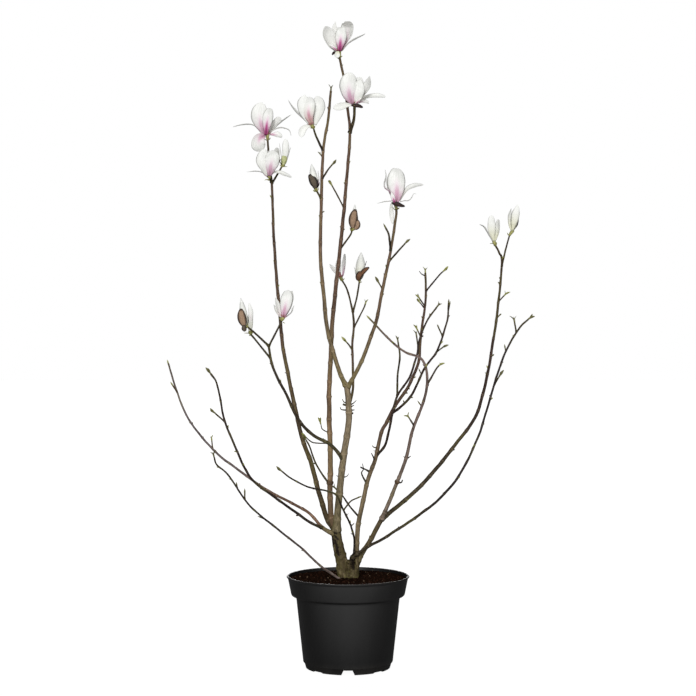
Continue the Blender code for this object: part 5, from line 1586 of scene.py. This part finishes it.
# %% The blooms
BLOOMS = {
    "top_bloom": [
        ("white", 40, "RF", (-7, 14, 0), (-20, 31, -5), (-26, 49, -6), (-20, 69, -2)),
        ("tip", 15, "F", (-5, 14, 6), (-12, 45, 14), (-12, 67, 14), (-10, 84, 10)),
        ("white", 38, "F", (-2, 14, 8), (-3, 41, 16), (1, 72, 12)),
        ("magenta", 26, "B", (0, 14, -4), (2, 33, -12), (3, 51, -13), (6, 67, -8)),
        ("rosy", 40, "LF", (4, 15, 2), (13, 39, 8), (19, 61, 8), (22, 77, 2), (15, 83, -7)),
        ("tip", 12, "U", (6, 16, 0), (20, 32, 0), (40, 44, 0), (59, 54, 0)),
        ("streak", 10, "UF", (-6, 14, -6), (-16, 22, -10), (-26, 30, -10)),
        ("cream", 12, "F", (-2, 13, -6), (-5, 7, -9), (-5, -2, -9)),
        ("husk", 6, "FR", (-9, 9, -8), (-13, 9, -11), (-17, 4, -10)),
    ],
    "upper_bloom": [
        ("rosy", 42, "B", (-5, 4, -2), (-12, 26, -15), (-13, 50, -18), (-8, 74, -9)),
        ("white", 25, "B", (2, 4, -3), (9, 30, -13), (11, 58, -11)),
        ("tip", 30, "LF", (4, 6, 0), (18, 28, 2), (29, 48, 4), (34, 70, 2)),
        ("white", 24, "F", (2, 6, 6), (8, 38, 14), (11, 70, 10)),
        ("white", 36, "F", (-5, 6, 6), (-11, 32, 18), (-9, 66, 14)),
        ("white", 14, "FU", (7, 12, 4), (25, 22, 8), (45, 26, 10), (71, 26, 8)),
        ("rosy", 18, "FU", (5, 8, 0), (17, 12, 2), (33, 10, 2)),
        ("white", 16, "F", (-7, 4, -4), (-21, 2, -9), (-35, -2, -11), (-48, -4, -11)),
        ("streak", 9, "LF", (4, 6, -7), (11, 16, -7), (20, 28, -5)),
        ("husk", 14, "FU", (-7, 2, -5), (5, 0, -10), (19, -2, -8)),
    ],
    "side_bloom": [
        ("white", 28, "B", (-6, 5, -2), (-16, 27, -12), (-22, 50, -13), (-20, 71, -6)),
        ("flush", 30, "B", (-4, 5, -4), (-10, 28, -16), (-10, 50, -16), (-8, 69, -8)),
        ("white", 26, "B", (4, 5, -2), (10, 28, -8), (14, 50, -9), (8, 71, -4)),
        ("white", 34, "F", (-2, 5, 6), (-10, 34, 16), (-10, 67, 12)),
        ("tip", 15, "RU", (-8, 5, 0), (-22, 19, 0), (-40, 36, 2), (-58, 62, 2)),
        ("white", 15, "F", (-6, 3, -3), (-16, 0, -7), (-24, -8, -8), (-28, -23, -8)),
    ],
    "wide_bloom": [
        ("rosy", 38, "B", (-6, 9, -2), (-14, 33, -12), (-18, 55, -14), (-14, 80, -5)),
        ("magenta", 23, "B", (-4, 8, -5), (-1, 30, -16), (2, 51, -16), (6, 71, -7)),
        ("white", 32, "F", (-2, 9, 6), (-6, 37, 16), (-6, 70, 12)),
        ("white", 22, "LF", (4, 13, 2), (15, 31, 4), (24, 43, 4), (30, 48, 0)),
        ("tip", 12, "LU", (5, 13, 4), (18, 29, 7), (34, 43, 9), (53, 58, 9)),
        ("white", 9, "U", (3, 8, -2), (12, 19, -4), (26, 25, -5), (40, 24, -5), (50, 19, -5), (54, 8, -5)),
        ("white", 9, "U", (-10, 8, -2), (-22, 23, -4), (-31, 31, -5), (-42, 33, -5), (-58, 32, -5),
         (-79, 29, -5)),
        ("rosy", 31, "F", (-6, 8, -4), (-15, 2, -12), (-20, -11, -14), (-17, -29, -9)),
        ("rosy", 18, "FU", (6, 10, -3), (19, 9, -7), (34, 6, -7)),
    ],
    "low_bloom": [
        ("white", 25, "B", (-5, 4, -2), (-12, 23, -11), (-17, 41, -13), (-9, 64, -6)),
        ("rosy", 35, "B", (0, 4, -4), (4, 25, -15), (7, 45, -15), (6, 63, -8)),
        ("white", 25, "LF", (4, 5, 2), (14, 35, 6), (20, 69, 3)),
        ("white", 32, "F", (-2, 5, 6), (-2, 33, 16), (0, 63, 12)),
        ("tip", 7, "U", (-4, 3, 0), (-18, 13, -2), (-34, 15, -2), (-51, 13, -2)),
        ("white", 13, "FU", (4, 6, -2), (11, 12, -3), (22, 12, -4), (36, 7, -4), (51, 2, -4)),
        ("rosy", 9, "L", (5, 5, -2), (8, 13, -3), (17, 31, -2)),
        ("rosy", 7, "R", (-5, 3, -3), (-10, 6, -4), (-18, 15, -4)),
        ("leaf", 5, "U", (-2, -3, -2), (-11, -5, -3)),
    ],
    "green_bud": [
        ("green", 14, "F", (2, 1, 0), (9, 36, 0)),
        ("white", 15, "B", (4, 8, -3), (8, 34, -6), (8, 61, -3)),
        ("white", 13, "F", (4, 8, 3), (8, 30, 6), (5, 52, 4)),
        ("tip", 6, "R", (1, 8, 0), (-3, 30, 0), (-6, 52, 0)),
        ("tip", 8, "L", (8, 6, 0), (14, 24, 0), (19, 43, 0)),
        ("leaf", 4, "U", (2, -1, 0), (12, -1, 0)),
        ("fur", 5, "R", (0, 3, -4), (-5, 9, -5), (-2, 16, -5)),
    ],
    "spread_bloom": [
        ("rosy", 41, "B", (0, 10, -5), (1, 38, -13), (0, 66, -13), (3, 94, -5)),
        ("white", 28, "F", (-2, 14, 6), (-7, 50, 14), (-9, 86, 12)),
        ("magenta", 14, "R", (-9, 18, -2), (-15, 38, -4), (-26, 46, -4), (-28, 58, -4), (-24, 74, -4),
         (-27, 88, -4)),
        ("white", 18, "LUF", (8, 18, -2), (22, 40, -4), (38, 50, -4), (60, 56, -4)),
        ("tip", 6, "U", (8, 16, -2), (18, 18, -4), (27, 18, -4), (34, 24, -4), (39, 34, -4), (45, 34, -4)),
        ("tip", 6, "U", (-8, 18, -2), (-25, 16, -3), (-44, 12, -3)),
        ("white", 9, "F", (-6, 16, 2), (-11, 10, 4), (-11, -8, 6), (-8, -34, 6)),
        ("streak", 9, "B", (-4, 12, -8), (-8, 24, -12), (-12, 36, -12)),
        ("husk", 15, "FU", (-10, 14, -8), (0, 8, -13), (9, 6, -13), (19, 6, -8)),
    ],
    "open_bud": [
        ("cream", 18, "B", (-3, 9, -3), (-8, 29, -8), (-9, 49, -8), (-9, 67, -4)),
        ("cream", 15, "LF", (0, 9, 0), (5, 27, 0), (6, 43, 0), (7, 59, 0)),
        ("white", 13, "RU", (-6, 9, 0), (-19, 30, -2), (-26, 41, -2), (-35, 48, -2)),
        ("cream", 16, "F", (-3, 9, 5), (-3, 31, 10), (-2, 53, 8)),
        ("leaf", 4, "U", (-4, 4, -2), (-13, 4, -3)),
    ],
    "slim_bloom": [
        ("slip", 17, "B", (6, 9, -3), (10, 30, -8), (14, 50, -8), (18, 68, -3)),
        ("slip", 11, "RF", (3, 8, -3), (-2, 25, -5), (-2, 42, -5), (4, 59, -4)),
        ("cream", 13, "LF", (9, 9, 0), (14, 26, 2), (17, 38, 2), (20, 46, 2)),
        ("cream", 16, "F", (6, 9, 5), (10, 34, 9), (14, 60, 6)),
        ("fur", 7, "L", (10, 12, 0), (17, 21, -3), (20, 33, -3)),
    ],
    "fur_bud": [
        ("core", 18, "F", (-3, 6, 0), (-11, 60, 0)),
        ("fur", 18, "B", (-2, 4, -5), (-4, 13, -11), (-9, 24, -11), (-16, 35, -6)),
        ("fur", 18, "F", (-1, 5, 4), (-2, 16, 10), (-6, 32, 8)),
        ("rosy", 6, "L", (1, 8, 0), (6, 24, 0), (3, 44, 0)),
    ],
    "tan_bud": [
        ("core", 14, "F", (2, 3, 0), (6, 58, 0)),
        ("tan", 20, "B", (2, 3, -4), (1, 16, -10), (3, 32, -10), (7, 46, -5)),
        ("tan", 13, "B", (5, 1, -7), (11, 8, -10), (12, 22, -9)),
        ("tan", 17, "F", (3, 3, 4), (4, 20, 9), (7, 42, 5)),
    ],
    "half_bloom": [
        ("tip", 12, "RF", (-4, 6, 2), (-14, 18, 5), (-28, 36, 6)),
        ("rosy", 12, "LF", (0, 4, -1), (4, 18, -3), (6, 38, -3), (6, 60, 0)),
        ("white", 13, "F", (-4, 4, 5), (-8, 30, 10), (-6, 50, 8)),
        ("leaf", 4, "U", (-2, -2, -3), (-6, 6, -4)),
    ],
    "brown_bloom": [
        ("core", 22, "F", (1, 6, 0), (4, 66, 0)),
        ("tip", 6, "R", (-3, 5, 0), (-8, 15, -2), (-11, 33, -2)),
        ("fur", 6, "L", (6, 11, 0), (11, 29, 0), (16, 46, 0)),
        ("brown", 15, "B", (-3, 1, -6), (-2, 9, -12), (2, 17, -12), (8, 25, -8)),
        ("brown", 10, "B", (1, 9, -8), (7, 19, -13), (14, 26, -12), (22, 31, -7)),
        ("fur", 18, "F", (1, 4, 4), (1, 15, 10), (3, 29, 9)),
    ],
    "far_fur_bud": [
        ("core", 17, "F", (-3, 0, 0), (-14, 65, 0)),
        ("tan", 20, "B", (-5, 0, -5), (-9, 12, -11), (-12, 26, -11), (-13, 40, -7)),
        ("fur", 11, "B", (-4, -11, -5), (-6, -4, -9), (-5, 3, -8)),
        ("fur", 18, "F", (-3, 1, 4), (-6, 17, 9), (-9, 33, 7)),
    ],
    "leaning_bloom": [
        ("rosy", 27, "B", (2, 4, -3), (7, 27, -12), (11, 49, -13), (13, 68, -5)),
        ("white", 16, "LF", (6, 5, 0), (16, 27, 0), (21, 47, 0), (22, 66, 0)),
        ("white", 26, "F", (3, 5, 5), (9, 33, 12), (13, 62, 8)),
        ("tip", 13, "RF", (-3, 5, -4), (-8, 25, -6), (-14, 51, -6)),
        ("tip", 8, "RF", (-5, 7, -6), (-13, 21, -8), (-18, 35, -8)),
        ("rosy", 12, "LU", (5, 5, -3), (15, 11, -6), (23, 19, -6), (26, 33, -5)),
        ("fur", 5, "R", (-3, 5, -3), (-9, 17, -4), (-13, 35, -4)),
        ("leaf", 4, "U", (2, -5, -2), (7, -8, -3)),
    ],
    "pale_bud": [
        ("core", 13, "F", (-1, 5, 0), (0, 58, 0)),
        ("tip", 10, "B", (0, 18, -5), (1, 46, -5), (-3, 72, -2)),
        ("tip", 9, "F", (0, 12, 5), (1, 42, 5), (0, 62, 2)),
        ("leaf", 4, "U", (-3, 2, -2), (-14, 2, -3)),
    ],
}
print("blooms:", len(BLOOMS), "with", sum(len(tepals) for tepals in BLOOMS.values()), "tepals")

# %% [markdown]
# A tepal starts as a flat grid. Its rows are strung along a smooth curve through the spots, closer
# together towards the tip, where the outline turns fastest. Each row is spread to the blade's width
# there and its sides curl inwards like a spoon. A fine crease down the middle, wavy margins and a
# slight twist make it a living thing. Extruding the whole face and sinking the copy along its
# normals gives it thickness without spikes. Reach, side and inside are noted on its points,
# because the colour of a petal follows them.

# %% Shape a tepal
TEPAL_ROWS = 20
TEPAL_COLUMNS = 10
TEPAL_THICKNESS = 0.7 * MM
TEPAL_CUP = 0.36
WIDEST_AT = 0.62
CREASE = 0.5 * MM
WAVE = 0.045  # of the blade's width
RAGGED = 0.10  # of the blade's width
ROLL = 0.16  # of the blade's width, how far a tip rolls over
FACING = {"F": (0, -1, 0), "B": (0, 1, 0), "L": (-1, 0, 0), "R": (1, 0, 0), "U": (0, 0, 1)}
TEPAL_LAYERS = ("reach", "side", "inside", "blush", "cream")


def outline_at(share, shape):
    """Half a tepal's width at this share of its length, as a share of its greatest."""
    if shape == "oval":
        return max(0.05, math.sin(math.pi * (0.07 + 0.90 * share)) ** 0.6)
    if share < WIDEST_AT:
        return 0.20 + 0.80 * math.sin(0.5 * math.pi * share / WIDEST_AT) ** 1.25
    past = (share - WIDEST_AT) / (1 - WIDEST_AT)
    return max(0.05, (1 - past**2.2) ** 0.52 if shape == "blunt" else (1 - past**1.5) ** 0.85)


def tepal_rows(spots, face):
    """Share of the length, place, sideways direction and inward direction of each row."""
    path, _ = smooth_path(spots, 1.5 * MM)
    along = distances_along(path)
    rows = []
    for row in range(TEPAL_ROWS + 1):
        share = 1 - (1 - row / TEPAL_ROWS) ** 1.35
        place = Vector([float(np.interp(share * along[-1], along, [p[k] for p in path])) for k in range(3)])
        i = min(len(path) - 2, sum(x < share * along[-1] for x in along[1:]))
        way = (path[min(i + 2, len(path) - 1)] - path[max(i - 1, 0)]).normalized()
        inward = (face - way * face.dot(way)).normalized()
        rows.append((share, place, way.cross(inward), inward))
    return rows


def tepal_mesh(spots, width, face, shape, dice):
    bm = bmesh.new()
    bmesh.ops.create_grid(bm, x_segments=TEPAL_COLUMNS, y_segments=TEPAL_ROWS, size=0.5)
    reach, edge, inside, *_ = (bm.verts.layers.float.new(name) for name in TEPAL_LAYERS)
    rows = tepal_rows(spots, face)
    twist = math.radians(dice.uniform(-12, 12))
    phase, waves = dice.uniform(0, 6), dice.uniform(1.4, 2.4)
    petal_like = shape != "oval"
    roll = width * ROLL * dice.uniform(-1, 1) * petal_like
    length = (rows[-1][1] - rows[0][1]).length
    for vert in bm.verts:
        side = 2 * vert.co.x
        share, place, across, inward = rows[round((vert.co.y + 0.5) * TEPAL_ROWS)]
        uneven = noise.noise(Vector((share * 6, math.copysign(4, side), phase)))
        uneven += 0.3 * noise.noise(Vector((share * 15, math.copysign(4, side), phase)))
        uneven *= RAGGED * petal_like * share * abs(side)
        narrow = outline_at(share, shape)
        out = side * narrow * (1 + uneven)  # -1 to 1, and the blade is a smooth function of it
        late = max(0.0, (share - 0.72) / 0.28) ** 2
        frill = length * 0.04 * petal_like * late * noise.noise(Vector((out * 2.6, phase, 1.0)))
        cup = 0.5 * TEPAL_CUP * out**2 / (narrow if share < WIDEST_AT else 1) * (1.2 - 0.5 * share)
        ripple = WAVE * out**2 * math.sin(waves * math.pi * 2 * share + phase + 1.3 * out) * share
        crease = CREASE * math.exp(-(side / 0.16) ** 2) * (1 - share)
        twisted = Vector((math.cos(twist * share), math.sin(twist * share))) * 0.5 * out
        rise = width * (cup + ripple + twisted.y) - crease + roll * late
        vert.co = place + across * width * twisted.x + inward * rise + inward.cross(across) * frill
        vert[reach], vert[edge], vert[inside] = share, side, 1.0
    back = bmesh.ops.extrude_face_region(bm, geom=bm.faces[:])["geom"]
    bm.normal_update()
    for vert in back:
        if isinstance(vert, bmesh.types.BMVert):
            vert.co -= vert.normal * TEPAL_THICKNESS
            vert[inside] = 0.0
    turn_out(bm)
    return bm


def join_mesh(bm, part):
    """Adds the mesh of part to bm and drops part."""
    mesh = bpy.data.meshes.new("part")
    part.to_mesh(mesh)
    part.free()
    bm.from_mesh(mesh)
    bpy.data.meshes.remove(mesh)


trial_spots = [Vector((0, 0, 0)), Vector((0, -0.01, 0.04)), Vector((0, 0, 0.08))]
trial = tepal_mesh(trial_spots, 0.04, Vector((0, 1, 0)), "blunt", random.Random(1))
print("a tepal has", len(trial.faces), "faces and holds", round(trial.calc_volume() / MM**3), "cubic mm")
trial.free()

# %% [markdown]
# Lily magnolia petals are greyish white, and some carry a magenta foot that runs up the middle in
# fine streaks. How strong that is belongs to each petal, so it is noted on its points too, and so
# is the creamy green of the youngest ones. Veins are grain that follows the petal's own length.

# %% Petal material
# Each stain of a rosy foot: where it ends and where it is full, its strength and its colour
STAINS = [(0.60, 0.12, 0.65, (226, 170, 206)), (0.36, 0.08, 0.95, (182, 58, 132)),
          (0.06, -0.10, 0.85, (104, 24, 68))]


def make_petal():
    material, tree, shader = new_material("petal", 0.55)
    reach, side, inner, blush, cream = (attribute(tree, name) for name in TEPAL_LAYERS)
    flat = add_node(tree, "ShaderNodeCombineXYZ", {"X": side, "Y": inner, "Z": reach}).outputs[0]
    veins = grain(tree, flat, 16.0, 2.0)
    mottle = grain(tree, object_place(tree), 420.0, 420.0)
    white = blend(tree, ramp(tree, veins["Streaks"], 0.35, 0.65), (230, 231, 226), (249, 249, 246))
    white = blend(tree, ramp(tree, mottle["Blotches"], 0.45, 0.65, 0.0, 0.3), white, (218, 220, 213))
    away = calculate(tree, "ABSOLUTE", side)
    ragged = calculate(tree, "ADD", reach, ramp(tree, veins["Streaks"], 0.3, 0.7, 0.07, -0.07))
    ragged = calculate(tree, "SUBTRACT", ragged, ramp(tree, away, 0.0, 0.6, 0.24, 0.0))
    lines = calculate(tree, "MULTIPLY", ramp(tree, veins["Streaks"], 0.54, 0.66),
                      ramp(tree, reach, 0.80, 0.25, 0.0, 0.55))
    colour = blend(tree, calculate(tree, "MULTIPLY", lines, blush), white, (196, 112, 162))
    for high, low, strength, stain in STAINS:
        share = calculate(tree, "MULTIPLY", blush, ramp(tree, ragged, high, low, 0.0, strength))
        colour = blend(tree, share, colour, stain)
    creamy = calculate(tree, "MULTIPLY", cream, ramp(tree, reach, 0.8, 0.0, 0.0, 0.9))
    colour = blend(tree, creamy, colour, (218, 216, 168))
    # Grey towards the side margins: painted shade.
    colour = blend(tree, ramp(tree, away, 0.84, 1.0, 0.0, 0.6), colour, (168, 168, 160))
    finish_shader(tree, shader, colour, 0.5, veins["Streaks"], 0.12 * MM, 0.5)
    return material


petal = make_petal()
print("petal material", len(petal.node_tree.nodes), "nodes")

# %% [markdown]
# A flower sits on a short yellow-green cup. In an open one there is a small cone of pistils with
# a ring of stamens round it. The young buds are wrapped in scales with short dark or tan fur, whose
# margins are painted darker than their middle as shade, and small green leaves stand beside some of
# the cups.

# %% Cups, hearts and scales
CUP_RADIUS = 4.3 * MM
HEART_LENGTH = 15 * MM
HEART_RADIUS = 3.2 * MM
STAMENS = 26
STAMEN_LENGTH = 8 * MM


def add_heart(bm, foot, stance):
    shares = ((0, 0.8), (0.2, 1.0), (0.45, 0.95), (0.7, 0.7), (0.9, 0.4), (1, 0.1))
    path = [foot + stance @ Vector((0, 0, share * HEART_LENGTH)) for share, _ in shares]
    grow_tube(bm, path, [HEART_RADIUS * width for _, width in shares], 12)
    for k in range(STAMENS):
        turn = SPUR_TURN * k
        lean = math.radians(24 + 26 * (k % 3) / 2)
        x, y = math.cos(turn), math.sin(turn)
        way = stance @ Vector((x * math.sin(lean), y * math.sin(lean), math.cos(lean)))
        root = foot + stance @ Vector((x * 2.4 * MM, y * 2.4 * MM, 0.5 * MM))
        grow_tube(bm, [root, root + way * STAMEN_LENGTH * 0.5, root + way * STAMEN_LENGTH],
                  [0.6 * MM, 0.75 * MM, 0.25 * MM], 5)


BLADE_GRAIN = (1500.0, 220.0, 0.6 * MM, 0.7)
bloom_materials = [
    petal,
    two_tone("leaf_green", (128, 128, 66), (176, 172, 104), 0.55, 500.0, 160.0, 0.2 * MM, 0.7),
    two_tone("heart", (120, 90, 60), (190, 120, 130), 0.6, 900.0, 500.0, 0.3 * MM, 0.7),
    # The margin colours of the scales below are painted shade.
    two_tone("dark_fur", (64, 55, 45), (108, 96, 80), 0.85, *BLADE_GRAIN, margin=(24, 16, 12)),
    two_tone("tan_fur", (126, 102, 80), (178, 148, 122), 0.85, *BLADE_GRAIN, margin=(58, 42, 30)),
    two_tone("bud_green", (150, 158, 96), (206, 208, 156), 0.6, 420.0, 90.0, 0.25 * MM, 0.7),
    two_tone("husk", (32, 19, 17), (64, 40, 34), 0.7, 700.0, 160.0, 0.4 * MM, 0.7, margin=(20, 12, 10)),
    two_tone("brown_fur", (76, 48, 30), (136, 92, 60), 0.8, 1200.0, 220.0, 0.6 * MM, 0.7,
             margin=(32, 20, 12)),
]
PETAL, LEAF, HEART, FUR, TAN, GREEN, HUSK, BROWN = range(8)
# Each kind of blade or core: its material, its blush, its cream and its shape
KINDS = {
    "white": (PETAL, 0.0, 0.1, "blunt"), "tip": (PETAL, 0.12, 0.1, "point"),
    "rosy": (PETAL, 0.5, 0.0, "blunt"), "magenta": (PETAL, 1.0, 0.0, "blunt"),
    "streak": (PETAL, 1.0, 0.0, "point"), "flush": (PETAL, 0.85, 0.45, "blunt"),
    "cream": (PETAL, 0.0, 0.7, "blunt"), "slip": (PETAL, 0.0, 0.7, "point"),
    "core": (PETAL, 0.0, 0.4, "blunt"), "green": (GREEN, 0.0, 0.0, "blunt"),
    "leaf": (LEAF, 0.0, 0.0, "point"), "fur": (FUR, 0.0, 0.0, "oval"), "tan": (TAN, 0.0, 0.0, "oval"),
    "husk": (HUSK, 0.0, 0.0, "oval"), "brown": (BROWN, 0.0, 0.0, "oval"),
}
BRACTS = 3
print("finishes of the blooms:", len(bloom_materials))

# %% [markdown]
# The last step puts each bloom together. A core, the closed middle of a bud, is a turned form drawn
# out between two spots, and everything else is a blade. Open flowers get a heart.

# %% Build the blooms
CORE_SHAPE = ((0.0, 0.35), (0.08, 0.62), (0.2, 0.88), (0.35, 1.0), (0.5, 0.98), (0.65, 0.82), (0.8, 0.56),
              (0.92, 0.26), (1.0, 0.05))
HEARTED = ("top_bloom", "upper_bloom", "side_bloom", "wide_bloom", "low_bloom", "spread_bloom",
           "half_bloom", "leaning_bloom")
WIDE_BLADE = 12  # mm, from which a blade helps to tell where a flower's throat is


def add_core(bm, start, end, width):
    path = [start.lerp(end, share) for share, _ in CORE_SHAPE]
    rings = grow_tube(bm, path, [0.5 * width * size for _, size in CORE_SHAPE], 16)
    for (share, _), ring in zip(CORE_SHAPE, rings):
        for vert in ring:
            vert[bm.verts.layers.float["reach"]] = share


def make_bloom(bloom_name, tip, way, spray):
    dice = random.Random(bloom_name)
    grow = (VIEW_DISTANCE + tip.y) / VIEW_DISTANCE  # far blooms look smaller, so they are made larger
    bm = bmesh.new()
    layers = [bm.verts.layers.float.new(name) for name in TEPAL_LAYERS]
    feet, seconds = [], []
    for kind, width, facing, *spots in BLOOMS[bloom_name]:
        shade, blush, cream, shape = KINDS[kind]
        places = [tip + Vector((x, y, z)) * MM * grow for x, z, y in spots]
        known, before = len(bm.verts), len(bm.faces)
        if kind in ("core", "green"):
            add_core(bm, places[0], places[-1], width * MM * grow)
        else:
            face = sum((Vector(FACING[letter]) for letter in facing), Vector()).normalized()
            join_mesh(bm, tepal_mesh(places, width * MM * grow, face, shape, dice))
        bm.verts.ensure_lookup_table()
        for vert in bm.verts[known:]:
            vert[layers[3]], vert[layers[4]] = blush, cream
        shade_new_faces(bm, before, shade)
        if width >= WIDE_BLADE:
            feet.append(places[0])
            seconds.append(places[1])
    throat = sum(feet, Vector()) / len(feet)
    axis = (sum(seconds, Vector()) / len(seconds) - throat).normalized()
    before = len(bm.faces)
    cup_path = [tip - way * 3 * MM, tip - way * 1 * MM, tip.lerp(throat, 0.35), throat,
                throat + axis * 3 * MM]
    grow_tube(bm, cup_path, [CUP_RADIUS * share for share in (0.45, 0.62, 0.9, 1.0, 0.5)], 14)
    for k in range(BRACTS):
        out = sideways(way, SPUR_TURN * k + 3 * dice.random())
        root = tip - way * dice.uniform(0, 3) * MM + out * 2 * MM
        spots = [root, root + (out * 3 + way * 1.5) * MM, root + (out * 5 + way * dice.uniform(3, 6)) * MM]
        join_mesh(bm, tepal_mesh(spots, 3.6 * MM, way, "point", dice))
    shade_new_faces(bm, before, LEAF)
    if bloom_name in HEARTED:
        before = len(bm.faces)
        add_heart(bm, throat, stance_along(axis))
        shade_new_faces(bm, before, HEART)
    new_piece("bloom_" + bloom_name, bm, bloom_materials, ["spray_" + spray])


for kind, tip, way, spray in twig_tips:
    if kind in BLOOMS:
        make_bloom(kind, tip, way, spray)

# %% [markdown]
# Last, the dressed plant is meant to keep the size of the solids. The solids' box is printed.

# %% Sizes
print("solids", [[round(x, 4) for x in corner] for corner in cad_box])
